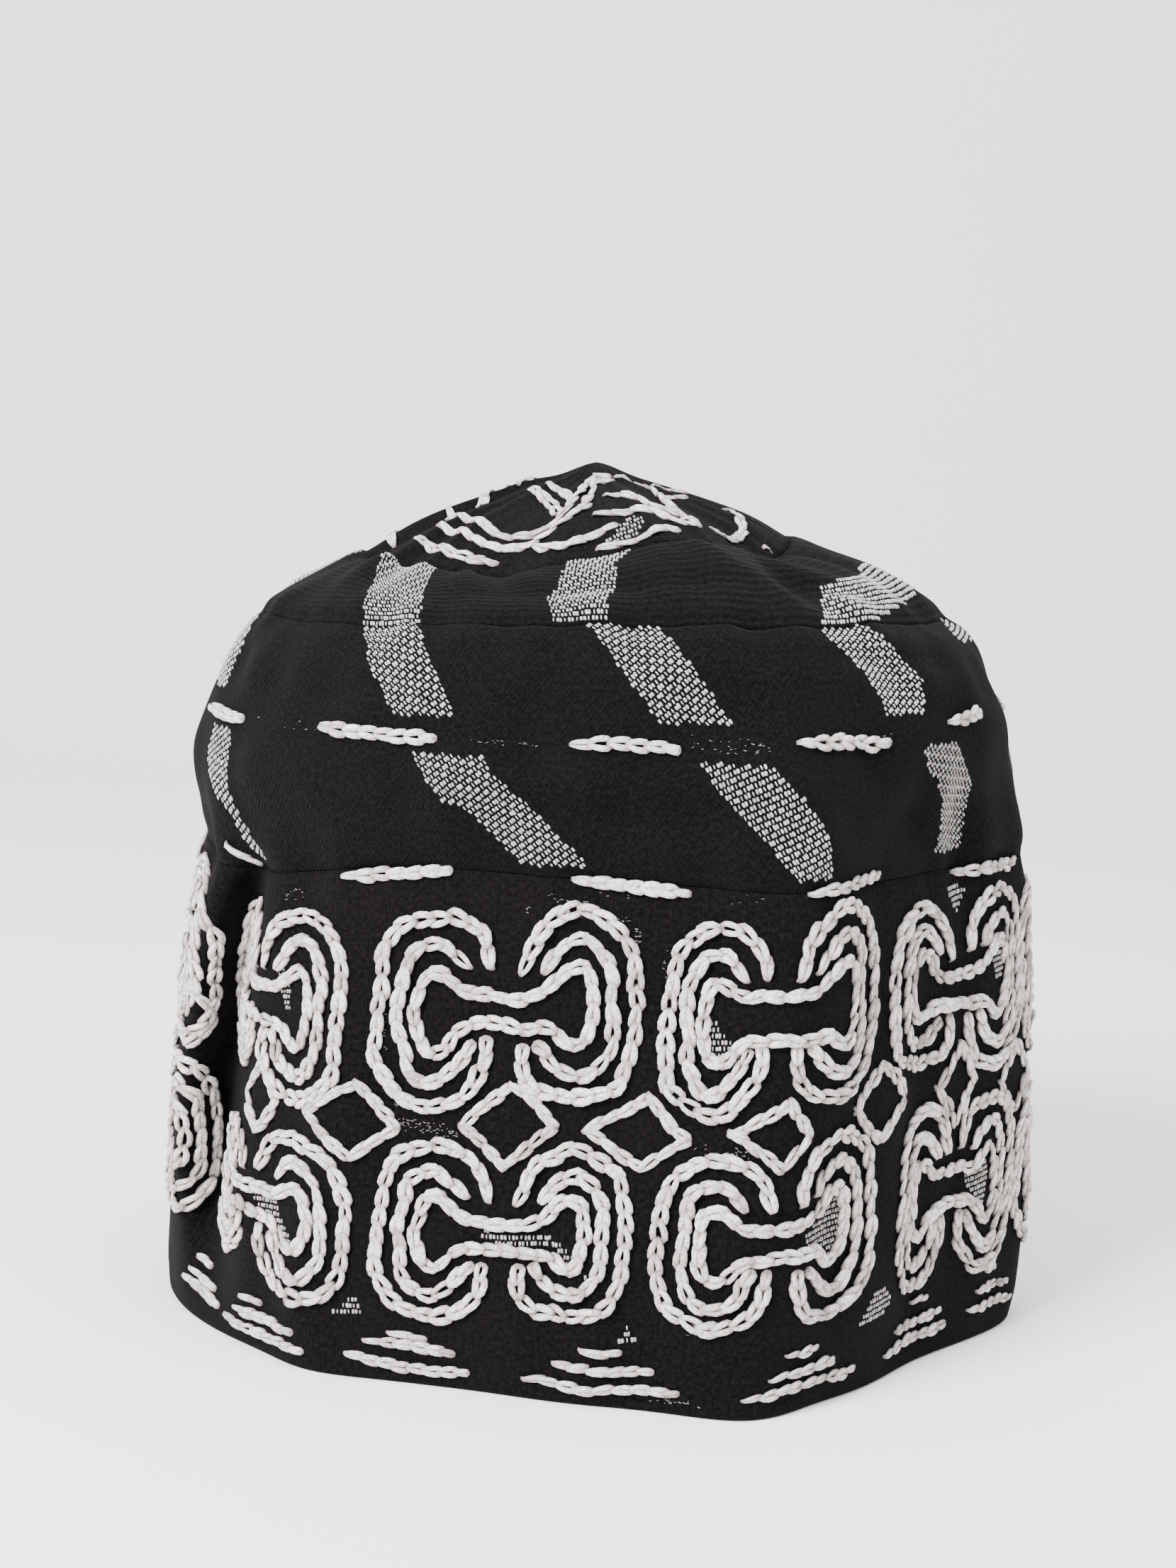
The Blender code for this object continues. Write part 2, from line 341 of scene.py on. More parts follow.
class Cloth:
    """The cap's outer surface as a lattice, with its normals and its lengths of cloth."""

    def __init__(self):
        self.bearings = np.linspace(-180.0, 180.0, LATTICE_COLUMNS + 1)
        self.levels = np.arange(0.0, PEAK_LEVEL + LATTICE_STEP / 2, LATTICE_STEP)
        points = np.stack([ring_at(self.bearings, level) for level in self.levels])
        points[:, -1] = points[:, 0]
        self.measure(points)
        relief = ripples(self.bearings, self.levels)
        relief += creases(self.bearings, self.levels)
        relief += puckers(self.bearings, self.levels)
        relief *= eased((self.levels - RELIEF_START) / RELIEF_GROWTH)[:, None]
        relief *= eased((PEAK_LEVEL - self.levels) / RELIEF_FADE)[:, None]
        relief[:, -1] = relief[:, 0]
        points = points + slope_normals(points) * relief[:, :, None]
        points[:, :, 2] = np.maximum(points[:, :, 2], 0.0)
        self.keep_open(points)
        self.points = points
        self.normals = slope_normals(points)

    def keep_open(self, points):
        """Just below the round top the shoulder may stand upright, but never turns back under it."""
        last = int(round(TOP_LEVEL / LATTICE_STEP))
        away = np.hypot(points[:, :, 0], points[:, :, 1])
        for row in range(last - 1, last - 1 - UPRIGHT_ROWS, -1):
            grow = np.maximum((away[row + 1] + UPRIGHT_STEP) / away[row], 1.0)
            points[row, :, :2] *= grow[:, None]
            away[row] *= grow

    def measure(self, points):
        """The lengths of cloth, taken before the fine relief."""
        steps = np.linalg.norm(np.diff(points, axis=1), axis=2)
        lengths = np.concatenate([np.zeros((len(self.levels), 1)), np.cumsum(steps, axis=1)], axis=1)
        front = LATTICE_COLUMNS // 2
        self.across = lengths - lengths[:, front : front + 1]
        rises = np.linalg.norm(np.diff(points, axis=0), axis=2).mean(axis=1)
        self.up = np.concatenate([[0.0], np.cumsum(rises)])
        self.edge = ring_at(self.bearings, TOP_LEVEL)

    def level_at(self, up):
        return np.interp(up, self.up, self.levels)

    def up_at(self, level):
        return np.interp(level, self.levels, self.up)

    def row_at(self, level):
        """Where a level lies on the lattice, in rows."""
        return np.clip(np.asarray(level) / LATTICE_STEP, 0, len(self.levels) - 1.001)

    def across_at(self, bearing, level):
        """The length of cloth from the front to a bearing, on the ring at a level."""
        column = (np.asarray(bearing) + 180.0) / 360.0 * LATTICE_COLUMNS
        return self._blend(self.across, self.row_at(level), column)

    def bearing_at(self, across, level):
        """The bearing at a length of cloth from the front. It goes round the back as far as it has to."""
        row = self.row_at(level)
        low = np.floor(row).astype(int)
        share = row - low
        found = np.zeros(len(row))
        for step, weight in ((0, 1.0 - share), (1, share)):
            for index in np.unique(low + step):
                here = low + step == index
                lengths = self.across[index]
                around = lengths[-1] - lengths[0]
                wrapped = (across[here] - lengths[0]) % around + lengths[0]
                bearing = np.interp(wrapped, lengths, self.bearings)
                turns = np.round((across[here] - wrapped) / around)
                found[here] += weight[here] * (bearing + 360.0 * turns)
        return found

    def _blend(self, values, row, column):
        """Values between the lattice's points, by their rows and columns."""
        low = np.floor(row).astype(int)
        left = np.floor(column).astype(int)
        row_share = row - low
        column_share = column - left
        left = left % LATTICE_COLUMNS
        if values.ndim == 3:
            row_share = row_share[:, None]
            column_share = column_share[:, None]
        below = values[low, left] * (1 - column_share) + values[low, left + 1] * column_share
        above = values[low + 1, left] * (1 - column_share) + values[low + 1, left + 1] * column_share
        return below * (1 - row_share) + above * row_share

    def at(self, bearing, level):
        """Points and normals at bearings and levels."""
        row = self.row_at(level)
        column = ((np.asarray(bearing) + 180.0) % 360.0) / 360.0 * LATTICE_COLUMNS
        points = self._blend(self.points, row, column)
        normals = self._blend(self.normals, row, column)
        return points, normals / np.linalg.norm(normals, axis=1, keepdims=True)

    def on_walls(self, flat):
        """Points and normals for flat pattern points (across, up)."""
        level = self.level_at(flat[:, 1])
        return self.at(self.bearing_at(flat[:, 0], level), level)

    def on_top(self, flat):
        """Points and normals on the round top for plan points measured from the peak."""
        heading = np.degrees(np.arctan2(flat[:, 0], -flat[:, 1]))
        edge_x = self.edge[:, 0] - PEAK_AT[0]
        edge_y = self.edge[:, 1] - PEAK_AT[1]
        edge_heading = np.degrees(np.unwrap(np.arctan2(edge_x, -edge_y)))
        heading = (heading - edge_heading[0]) % 360.0 + edge_heading[0]
        bearing = np.interp(heading, edge_heading, self.bearings)
        edge_away = np.interp(heading, edge_heading, np.hypot(edge_x, edge_y))
        share = 1.0 - np.hypot(flat[:, 0], flat[:, 1]) / edge_away
        return self.at(bearing, TOP_LEVEL + np.clip(share, -0.3, 1.0))


CLOTH = Cloth()


# Materials. Each is a Principled shader fed by a few nodes.
class Recipe:
    """A material being put together: short calls that add nodes and join them."""

    def __init__(self, name):
        self.material = bpy.data.materials.new(name)
        self.material.use_nodes = True
        self.nodes = self.material.node_tree.nodes
        self.links = self.material.node_tree.links
        self.shader = self.nodes["Principled BSDF"]

    def add(self, kind, settings=None, **inputs):
        node = self.nodes.new("ShaderNode" + kind)
        for key, value in (settings or {}).items():
            setattr(node, key, value)
        for key, value in inputs.items():
            self.feed(node.inputs[key.replace("_", " ")], value)
        return node

    def feed(self, socket, value):
        if isinstance(value, bpy.types.NodeSocket):
            self.links.new(value, socket)
        else:
            socket.default_value = value

    def ramp(self, value, *stops):
        """A colour ramp from (position, grey) or (position, colour) stops."""
        node = self.add("ValToRGB", Fac=value)
        elements = node.color_ramp.elements
        while len(elements) < len(stops):
            elements.new(0.5)
        for element, (position, colour) in zip(elements, stops):
            element.position = position
            element.color = (colour,) * 3 + (1.0,) if isinstance(colour, float) else (*colour, 1.0)
        return node.outputs["Color"]

    def mix(self, factor, first, second):
        node = self.add("Mix", {"data_type": "RGBA"})
        for index, value in ((0, factor), (6, first), (7, second)):
            self.feed(node.inputs[index], (*value, 1.0) if isinstance(value, tuple) else value)
        return node.outputs[2]

    def noise(self, vector, scale, detail=3.0, roughness=0.5):
        node = self.add("TexNoise", Vector=vector, Scale=scale, Detail=detail, Roughness=roughness)
        return node.outputs["Fac"]

    def bump(self, height, strength, distance, normal=None):
        node = self.add("Bump", Height=height, Strength=strength, Distance=distance)
        if normal is not None:
            self.feed(node.inputs["Normal"], normal)
        return node.outputs["Normal"]

    def finish(self, **values):
        for key, value in values.items():
            self.feed(self.shader.inputs[key.replace("_", " ")], value)
        return self.material


BLACK = (0.0013, 0.0010, 0.0012)
BLACK_WORN = (0.0056, 0.0047, 0.0053)
CHARCOAL = (0.0014, 0.0011, 0.0015)
CHARCOAL_WORN = (0.0050, 0.0043, 0.0053)
LINT = (0.10, 0.096, 0.092)
YARN_WHITE = (0.93, 0.885, 0.86)
YARN_SHADOW = (0.16, 0.14, 0.135)
WEFT_WHITE = (0.86, 0.833, 0.812)
WEFT_SHADOW = (0.13, 0.122, 0.12)

# The cloth map counts one unit for this many millimetres.
CLOTH_UV = "cloth"
UV_SPAN = 100.0

# The noises of the cloth and of the yarn: scale, detail and roughness.
FADING = (2.6, 5.0, 0.6)
MOTTLE = (105.0, 3.0, 0.7)
THREADS = (150.0, 3.0, 0.6)
FIBRES = (3.0, 3.0, 0.65)
LINT_SCALE = 34.0

# Reliefs: a strength, and a height in metres.
LINE_RELIEF = 0.34
THREAD_RELIEF = (0.80, 0.0005)
FIBRE_RELIEF = (1.0, 0.0015)

# The cloths: their colours, how their weave's lines are turned, how many there are and how high they
# stand, and how rough the cloth is.
CLOTH_COLUMNS = ("colour", "worn", "angle", "lines", "height", "roughness")
CLOTHS = {
    "band_cloth": (BLACK, BLACK_WORN, 0.0, 46.0, 0.0004, 0.92),
    "side_cloth": (CHARCOAL, CHARCOAL_WORN, 38.0, 36.0, 0.0004, 0.9),
    "shoulder_cloth": (CHARCOAL, CHARCOAL_WORN, 90.0, 17.0, 0.0007, 0.88),
    "top_cloth": (BLACK, BLACK_WORN, 0.0, 46.0, 0.0004, 0.9),
}


def cloth_material(name):
    """Black cotton: a fine weave in relief, a slight fading, and here and there a speck of lint."""
    cloth = named(CLOTH_COLUMNS, CLOTHS[name])
    recipe = Recipe(name)
    place = recipe.add("UVMap", {"uv_map": CLOTH_UV}).outputs["UV"]
    fading = recipe.noise(place, *FADING)
    mottle = recipe.noise(place, *MOTTLE)
    lint = recipe.add("TexVoronoi", {"feature": "F1"}, Vector=place, Scale=LINT_SCALE).outputs["Distance"]
    body = recipe.mix(recipe.ramp(fading, (0.35, 0.0), (0.75, 0.35)), cloth["colour"], cloth["worn"])
    body = recipe.mix(recipe.ramp(mottle, (0.40, 0.0), (0.64, 0.9)), body, cloth["worn"])
    body = recipe.mix(recipe.ramp(lint, (0.0, 0.4), (0.03, 0.0)), body, LINT)
    turned = recipe.add("Mapping", Vector=place, Rotation=(0.0, 0.0, math.radians(cloth["angle"])))
    lines = recipe.add(
        "TexWave", {"wave_type": "BANDS", "bands_direction": "X"},
        Vector=turned.outputs["Vector"], Scale=cloth["lines"], Distortion=2.2, Detail=3.0, Detail_Scale=4.0,
    ).outputs["Fac"]
    normal = recipe.bump(lines, LINE_RELIEF, cloth["height"])
    normal = recipe.bump(recipe.noise(place, *THREADS), *THREAD_RELIEF, normal)
    return recipe.finish(
        Base_Color=body, Roughness=cloth["roughness"], Normal=normal, Sheen_Weight=0.012,
        Sheen_Roughness=0.5, Specular_IOR_Level=0.03,
    )


def yarn_material(name, colour, shadowed):
    """Soft cotton yarn: fibres along each strand, with painted shade in the streaks between them. The tone
    attribute is each stitch's own tone times painted shade, and the lower it is, the more the yarn takes
    the painted shadow colour.
    """
    recipe = Recipe(name)
    place = recipe.add("Attribute", {"attribute_name": "fibre"}).outputs["Vector"]
    tone = recipe.add("Attribute", {"attribute_name": "tone"}).outputs["Fac"]
    fibres = recipe.noise(place, *FIBRES)
    body = recipe.mix(recipe.ramp(tone, (0.05, 0.0), (0.78, 1.0)), shadowed, colour)
    # the fibres' streaks: partly the yarn's own texture, partly painted shade between the fibres, in the
    # shadow colour
    body = recipe.mix(recipe.ramp(fibres, (0.36, 0.60), (0.55, 0.0)), body, shadowed)
    return recipe.finish(
        Base_Color=body, Roughness=0.85, Normal=recipe.bump(fibres, *FIBRE_RELIEF), Sheen_Weight=0.12,
        Sheen_Roughness=0.6, Specular_IOR_Level=0.15,
    )


# The cloth walls: each with the CAD piece that it stands for, its cloth, and the seams between which it
# lies. The first starts at the rim and the last ends at the peak.
WALLS = (
    ("band_wall", "embroidered_band", "band_cloth", None, BAND_SEAM),
    ("side_wall", "side_tier", "side_cloth", BAND_SEAM, SHOULDER_SEAM),
    ("shoulder_wall", "crown_shoulder", "shoulder_cloth", SHOULDER_SEAM, TOP_LEVEL),
    ("top_wall", "crown_top", "top_cloth", TOP_LEVEL, None),
)
WALL_LEVEL_STEP = 0.07
RIM_LEVELS = (0.0, 0.008, 0.02, 0.035)
TOP_ROWS = 24
COLUMN_STEP = 1.5
CREASE_COLUMN_STEP = 0.75
CREASE_BEARINGS = (-90.0, -54.0)
HALF_SEAM_GAP = 0.07

# The turned edges of each seam, inside the walls, with their cloth. In millimetres: how far they reach
# to either side, how far they lie off the wall, how much more at the seam, and how thick they are.
ALLOWANCES = (
    ("band_allowance", "side_cloth", BAND_SEAM),
    ("shoulder_allowance", "side_cloth", SHOULDER_SEAM),
    ("top_allowance", "shoulder_cloth", TOP_LEVEL),
)
ALLOWANCE_REACH = 5.0
ALLOWANCE_DEPTH = 0.15
ALLOWANCE_BEND = 0.3
ALLOWANCE_THICKNESS = 0.8


def mesh_object(name, points, faces, material):
    """A smooth mesh from points in millimetres and a list of faces."""
    mesh = bpy.data.meshes.new(name)
    mesh.from_pydata((points * MM).tolist(), [], faces)
    mesh.shade_smooth()
    mesh.validate()
    mesh.materials.append(material)
    piece = bpy.data.objects.new(name, mesh)
    bpy.context.scene.collection.objects.link(piece)
    return piece


def about_middle(points):
    return points - np.array(MIDDLE)


def ring_faces(row_count, count):
    """Four-sided faces between rings of points, and the row and column of each."""
    row, column = np.meshgrid(np.arange(row_count - 1), np.arange(count), indexing="ij")
    row = row.ravel()
    column = column.ravel()
    right = (column + 1) % count
    low = row * count
    high = low + count
    return row, column, np.stack([low + column, low + right, high + right, high + column], axis=1)


def thicken(piece, thickness):
    """Makes a surface into a wall, inwards."""
    shell = piece.modifiers.new("wall", "SOLIDIFY")
    shell.thickness = thickness * MM
    shell.offset = -1.0


def column_bearings():
    """Columns about 2 mm apart, closer together at the left crease."""
    bearings = []
    bearing = -180.0
    while bearing < 179.9:
        bearings.append(bearing)
        at_crease = CREASE_BEARINGS[0] <= bearing < CREASE_BEARINGS[1]
        bearing += CREASE_COLUMN_STEP if at_crease else COLUMN_STEP
    return np.array(bearings)


def levels_per_mm(seam, low, high):
    """How much level a millimetre of cloth takes between two steps of level from a seam."""
    return (high - low) / abs(CLOTH.up_at(seam + high) - CLOTH.up_at(seam + low))


def edge_level(seam, side):
    """The level just above (side 1) or below (side -1) a seam, half the gap away from it."""
    reach = levels_per_mm(seam, 0.0, 0.1) if side > 0 else levels_per_mm(seam, -0.1, 0.0)
    return seam + side * HALF_SEAM_GAP * reach


def wall_levels(low, high):
    """The levels of a wall's rings. They lie closer together at the rim, and stop short of the peak."""
    if high == PEAK_LEVEL:
        return np.linspace(low, high, TOP_ROWS + 1)[:-1]
    rows = int(round((high - low) / WALL_LEVEL_STEP))
    levels = np.linspace(low, high, rows + 1)
    if low == 0.0:
        levels = np.concatenate([RIM_LEVELS, levels[1:]])
    return levels


def round_rim(points, normals):
    """Rounds the lower edge of the cloth, inwards."""
    away = np.clip(RIM_ROUNDING - points[:, 2], 0.0, RIM_ROUNDING)
    inward = RIM_ROUNDING - np.sqrt(RIM_ROUNDING**2 - away**2)
    points[:, :2] -= normals[:, :2] * inward[:, None]


def peak_fan(row_count, count):
    """Faces from the last ring to the peak, which is the point after it."""
    last = (row_count - 1) * count
    return [(last + column, last + (column + 1) % count, last + count) for column in range(count)]


def wall_map(bearings, levels, row, column):
    """Lengths of cloth, across and up, at the corners of a wall's faces."""
    # the last ring point is the first again, reached from the other side
    grid_bearing, grid_level = np.meshgrid(np.append(bearings, 179.9999), levels)
    across = CLOTH.across_at(grid_bearing.ravel(), grid_level.ravel()).reshape(grid_level.shape)
    up = CLOTH.up_at(levels)
    corners = ((row, column), (row, column + 1), (row + 1, column + 1), (row + 1, column))
    flat = [np.stack([across[here], up[here[0]]], axis=1) for here in corners]
    return np.stack(flat, axis=1).reshape(-1, 2)


def plan_map(mesh):
    """Places in plan, in millimetres, at the corners of a mesh's faces."""
    return np.array([mesh.vertices[loop.vertex_index].co[:2] for loop in mesh.loops]) / MM


def cloth_wall(name, node, low, high, material):
    """One cloth piece between two levels: a closed shell with a cloth map in millimetres."""
    bearings = column_bearings()
    levels = wall_levels(low, high)
    grid_bearing, grid_level = np.meshgrid(bearings, levels)
    points, normals = CLOTH.at(grid_bearing.ravel(), grid_level.ravel())
    if low == 0.0:
        round_rim(points, normals)
    row, column, faces = ring_faces(len(levels), len(bearings))
    faces = faces.tolist()
    is_top = high == PEAK_LEVEL
    if is_top:
        peak, _ = CLOTH.at(np.array([0.0]), np.array([PEAK_LEVEL]))
        points = np.concatenate([points, peak])
        faces += peak_fan(len(levels), len(bearings))
    piece = mesh_object(name, about_middle(points), faces, material)
    flat = plan_map(piece.data) if is_top else wall_map(bearings, levels, row, column)
    layer = piece.data.uv_layers.new(name=CLOTH_UV)
    layer.data.foreach_set("uv", (flat / UV_SPAN).astype(np.float32).ravel())
    thicken(piece, WALL)
    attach(piece, "root")
    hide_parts(node)


def seam_allowance(name, seam, material):
    """The turned edges of a seam: a strip of cloth that lies along the inside of the walls."""
    bearings = column_bearings()
    reach = ALLOWANCE_REACH * levels_per_mm(seam, -0.1, 0.1)
    rings = []
    for level, bend in ((seam - reach, 0.0), (seam, ALLOWANCE_BEND), (seam + reach, 0.0)):
        points, normals = CLOTH.at(bearings, np.full(len(bearings), level))
        rings.append(points - normals * (WALL + ALLOWANCE_DEPTH + bend))
    _, _, faces = ring_faces(len(rings), len(bearings))
    piece = mesh_object(name, about_middle(np.concatenate(rings)), faces.tolist(), material)
    thicken(piece, ALLOWANCE_THICKNESS)
    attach(piece, "root")


def make_walls():
    cloths = {name: cloth_material(name) for name in CLOTHS}
    for name, node, slot, low_seam, high_seam in WALLS:
        low = 0.0 if low_seam is None else edge_level(low_seam, 1)
        high = PEAK_LEVEL if high_seam is None else edge_level(high_seam, -1)
        cloth_wall(name, node, low, high, cloths[slot])
    for name, slot, seam in ALLOWANCES:
        seam_allowance(name, seam, cloths[slot])


# Chain stitch
STITCH_LENGTH = 3.6
STROKE_WIDTH = 3.0
STRAND_ACROSS = 0.77
STRAND_UP = 0.54
STRAND_SIDES = 6

# One stitch is a loop of yarn. It leaves the hole in the last stitch thin and tight, passes over that
# stitch's end and spreads, and its own end is where the next stitch comes up. Along is in stitch
# lengths, side in half widths of the stroke, rise in strand heights and girth in strand widths; shade
# is how much light reaches the yarn.
LOOP_COLUMNS = ("along", "side", "rise", "girth", "shade")
LOOP_HALF = (
    (0.00, 0.10, 0.20, 0.60, 0.15),
    (0.18, 0.38, 1.75, 0.82, 0.74),
    (0.47, 0.82, 1.50, 0.97, 1.00),
    (0.82, 1.03, 1.05, 1.04, 0.98),
    (1.12, 1.00, 0.72, 1.00, 0.60),
    (1.32, 0.54, 0.42, 0.92, 0.28),
)
LOOP_BACK = (1.0, -1.0, 1.0, 1.0, 1.0)

# How much one stitch differs from the next: shares of its own size, but millimetres for lean and drift.
UNEVEN = {
    "start": 0.07, "length": 0.04, "spread": 0.15, "lean": 0.18,
    "drift": 0.13, "tipping": 0.30, "plump": 0.09,
}
STITCH_TONE = (0.76, 0.15)

# The first and last stitches of an open stroke are narrower and thinner, and the last is shorter.
END_COLUMNS = ("first_spread", "last_spread", "first_plump", "last_plump")
BLUNT_ENDS = (0.85, 0.80, 0.95, 0.92)
POINTED_ENDS = (0.55, 0.50, 0.85, 0.85)
LAST_LENGTH = 0.82
FIRST_RISE = 0.2
STROKE_OVERRUN = 0.4

# The noise of the fibres is stretched along the yarn, and each stitch has its own part of it.
FIBRE_ROUND = 0.5
FIBRE_ALONG = 0.45
FIBRE_APART = 7.3
# Painted shade on the underside of each strand: the share of the light that is left there.
UNDERSIDE_LIGHT = 0.45


def loop_shape():
    """The whole loop: there along one side and back along the other."""
    half = np.array(LOOP_HALF)
    return named(LOOP_COLUMNS, np.concatenate([half, half[::-1] * LOOP_BACK]).T)


LOOP = loop_shape()


def smooth_line(points, closed, step=0.6):
    """A smooth curve through flat points, as closely spaced points."""
    points = np.asarray(points, float)
    if closed:
        padded = np.concatenate([points[-1:], points, points[:2]])
    else:
        start = 2.0 * points[0] - points[1]
        end = 2.0 * points[-1] - points[-2]
        padded = np.concatenate([[start], points, [end]])
    curve = []
    for index in range(len(padded) - 3):
        before, start, end, after = padded[index : index + 4]
        pieces = max(int(np.linalg.norm(end - start) / step), 1)
        share = np.linspace(0.0, 1.0, pieces, endpoint=False)[:, None]
        curve.append(curve_between(before, start, end, after, share))
    curve.append(points[:1] if closed else points[-1:])
    return np.concatenate(curve)


def unit(vectors):
    return vectors / np.maximum(np.linalg.norm(vectors, axis=-1, keepdims=True), 1e-6)


class Path:
    """A smooth flat line, with the places along it by their distance from its start."""

    def __init__(self, points, closed):
        self.line = smooth_line(points, closed)
        self.closed = closed
        steps = np.linalg.norm(np.diff(self.line, axis=0), axis=1)
        self.reach = np.concatenate([[0.0], np.cumsum(steps)])
        self.length = self.reach[-1]

    def within(self, along, overrun=0.0):
        """Keeps distances on the line, which a closed one follows round again."""
        return along % self.length if self.closed else np.clip(along, 0.0, self.length + overrun)

    def at(self, along):
        return np.stack([np.interp(along, self.reach, self.line[:, axis]) for axis in (0, 1)], axis=-1)

    def heading(self, along, step=0.5):
        return unit(self.at(self.within(along + step)) - self.at(self.within(along - step)))


def repeated(faces, count, size):
    """The faces of many alike things that have so many points each."""
    return (np.arange(count)[:, None, None] * size + faces[None]).reshape(-1, faces.shape[1])


def yarn_piece(name, points, faces, fibre, tone, material):
    """One mesh of yarn. Each point has a place in the noise of the fibres, and a tone: the yarn's own tone
    times painted shade.
    """
    piece = mesh_object(name, about_middle(points.reshape(-1, 3)), faces.tolist(), material)
    layers = (("fibre", "FLOAT_VECTOR", "vector", fibre), ("tone", "FLOAT", "value", tone))
    for key, kind, field, values in layers:
        attribute = piece.data.attributes.new(key, kind, "POINT")
        attribute.data.foreach_set(field, values.astype(np.float32).ravel())
    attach(piece, "root")


class Embroidery:
    """Collects strokes of chain stitch, and makes them into one mesh of looped yarn."""

    def __init__(self, name, strand=(STRAND_ACROSS, STRAND_UP), on_cloth=CLOTH.on_walls):
        self.name = name
        self.rng = np.random.default_rng(SEEDS[name])
        self.hand = np.random.default_rng(SEEDS[name] + HAND_SEED)
        self.on_cloth = on_cloth
        self.strand_across, self.strand_up = strand
        self.loops = []
        self.normals = []
        self.sizes = []
        self.tones = []

    def uneven(self, name, count):
        return self.rng.normal(0.0, UNEVEN[name], count)

    def by_hand(self, points, size):
        """The small unevenness of a line that is drawn by hand."""
        return points + self.hand.normal(0.0, size, points.shape)

    def stroke(self, points, width=STROKE_WIDTH, closed=False, stitch=STITCH_LENGTH, pointed=False):
        """Works chain stitch along flat points."""
        path = Path(points, closed)
        count = max(int(round(path.length / stitch)), 1)
        pitch = path.length / count
        starts = pitch * np.arange(count)
        if count > 2:
            starts[1:] += pitch * self.uneven("start", count - 1)
        length = pitch * (1.0 + self.uneven("length", count))
        spread = (width / 2.0 - self.strand_across) * (1.0 + self.uneven("spread", count))
        lean = self.uneven("lean", count)[:, None]
        drift = self.uneven("drift", count)[:, None]
        tipping = self.uneven("tipping", count)[:, None]
        plump = 1.0 + self.uneven("plump", count)
        if not closed:
            ends = named(END_COLUMNS, POINTED_ENDS if pointed else BLUNT_ENDS)
            spread[0] *= ends["first_spread"]
            spread[-1] *= ends["last_spread"]
            plump[0] *= ends["first_plump"]
            plump[-1] *= ends["last_plump"]
            length[-1] *= LAST_LENGTH
        along = path.within(starts[:, None] + LOOP["along"] * length[:, None], STROKE_OVERRUN)
        aside = LOOP["side"] * spread[:, None] + lean * (LOOP["along"] - 0.5) + drift
        heading = path.heading(along)
        sideways = np.stack([-heading[..., 1], heading[..., 0]], axis=-1)
        flat = path.at(along) + sideways * aside[..., None]
        places, normals = self.on_cloth(flat.reshape(-1, 2))
        rise = LOOP["rise"] * self.strand_up * plump[:, None] * (1.0 + tipping * LOOP["side"])
        # the first loop starts and ends in the cloth
        rise[0, [0, -1]] *= FIRST_RISE
        places = places + normals * rise.reshape(-1, 1)
        self.loops.append(places.reshape(*along.shape, 3))
        self.normals.append(normals.reshape(*along.shape, 3))
        self.sizes.append(plump)
        self.tones.append(np.clip(self.rng.normal(*STITCH_TONE, count), 0.3, 1.0))

    def piece(self, material):
        """Makes the collected loops into closed tubes of yarn."""
        loops = np.concatenate(self.loops)
        count, beads, _ = loops.shape
        tangent = unit(np.roll(loops, -1, axis=1) - np.roll(loops, 1, axis=1))
        side = unit(np.cross(np.concatenate(self.normals), tangent))
        upward = np.cross(tangent, side)
        turn = (np.arange(STRAND_SIDES) + 0.5) / STRAND_SIDES * 2.0 * math.pi
        girth = np.concatenate(self.sizes)[:, None] * LOOP["girth"]
        wide = (girth[..., None] * np.cos(turn) * self.strand_across)[..., None] * side[:, :, None]
        tall = (girth[..., None] * np.sin(turn) * self.strand_up)[..., None] * upward[:, :, None]
        points = loops[:, :, None] + wide + tall
        _, _, around = ring_faces(beads + 1, STRAND_SIDES)
        # the last ring of a loop joins the first, and the faces look outwards
        around = np.roll(around[:, ::-1], 1, axis=1) % (beads * STRAND_SIDES)
        steps = np.linalg.norm(np.roll(loops, -1, axis=1) - loops, axis=2)
        fibre = np.empty(points.shape)
        fibre[..., 0] = np.cos(turn) * FIBRE_ROUND + np.arange(count)[:, None, None] * FIBRE_APART
        fibre[..., 1] = np.sin(turn) * FIBRE_ROUND
        fibre[..., 2] = np.cumsum(steps, axis=1)[:, :, None] * FIBRE_ALONG
        # painted shade: darker on each strand's underside and where each loop dives under, times each
        # stitch's own random tone
        light = UNDERSIDE_LIGHT + (1.0 - UNDERSIDE_LIGHT) * np.clip(np.sin(turn) + 0.3, 0.0, 1.0)
        tone = np.concatenate(self.tones)[:, None, None] * LOOP["shade"][:, None] * light
        faces = repeated(around, count, beads * STRAND_SIDES)
        yarn_piece(self.name, points, faces, fibre, tone, material)


# The band's scrolls. Each is a dumbbell: a closed hourglass outline, with a middle and an outer C
# round each of its flares. One half is charted here, from the neck (0) to the outermost stitch (1)
# sideways, and from the neck's height (0) to the top (1) or bottom (-1).
HALF_NECK = (0.0, 0.15)
HALF_INNER = (
    (0.14, 0.16), (0.28, 0.165), (0.37, 0.23), (0.45, 0.34), (0.555, 0.41), (0.64, 0.33), (0.675, 0.14),
    (0.685, -0.06), (0.655, -0.30), (0.575, -0.43), (0.47, -0.40), (0.385, -0.26), (0.28, -0.18),
    (0.14, -0.165),
)
HALF_MIDDLE = (
    (0.29, 0.40), (0.385, 0.56), (0.475, 0.67), (0.575, 0.715), (0.69, 0.63), (0.765, 0.50), (0.80, 0.30),
    (0.82, 0.02), (0.82, -0.24), (0.80, -0.43), (0.75, -0.60), (0.665, -0.73), (0.575, -0.765),
    (0.47, -0.71), (0.37, -0.60), (0.305, -0.46), (0.25, -0.34),
)
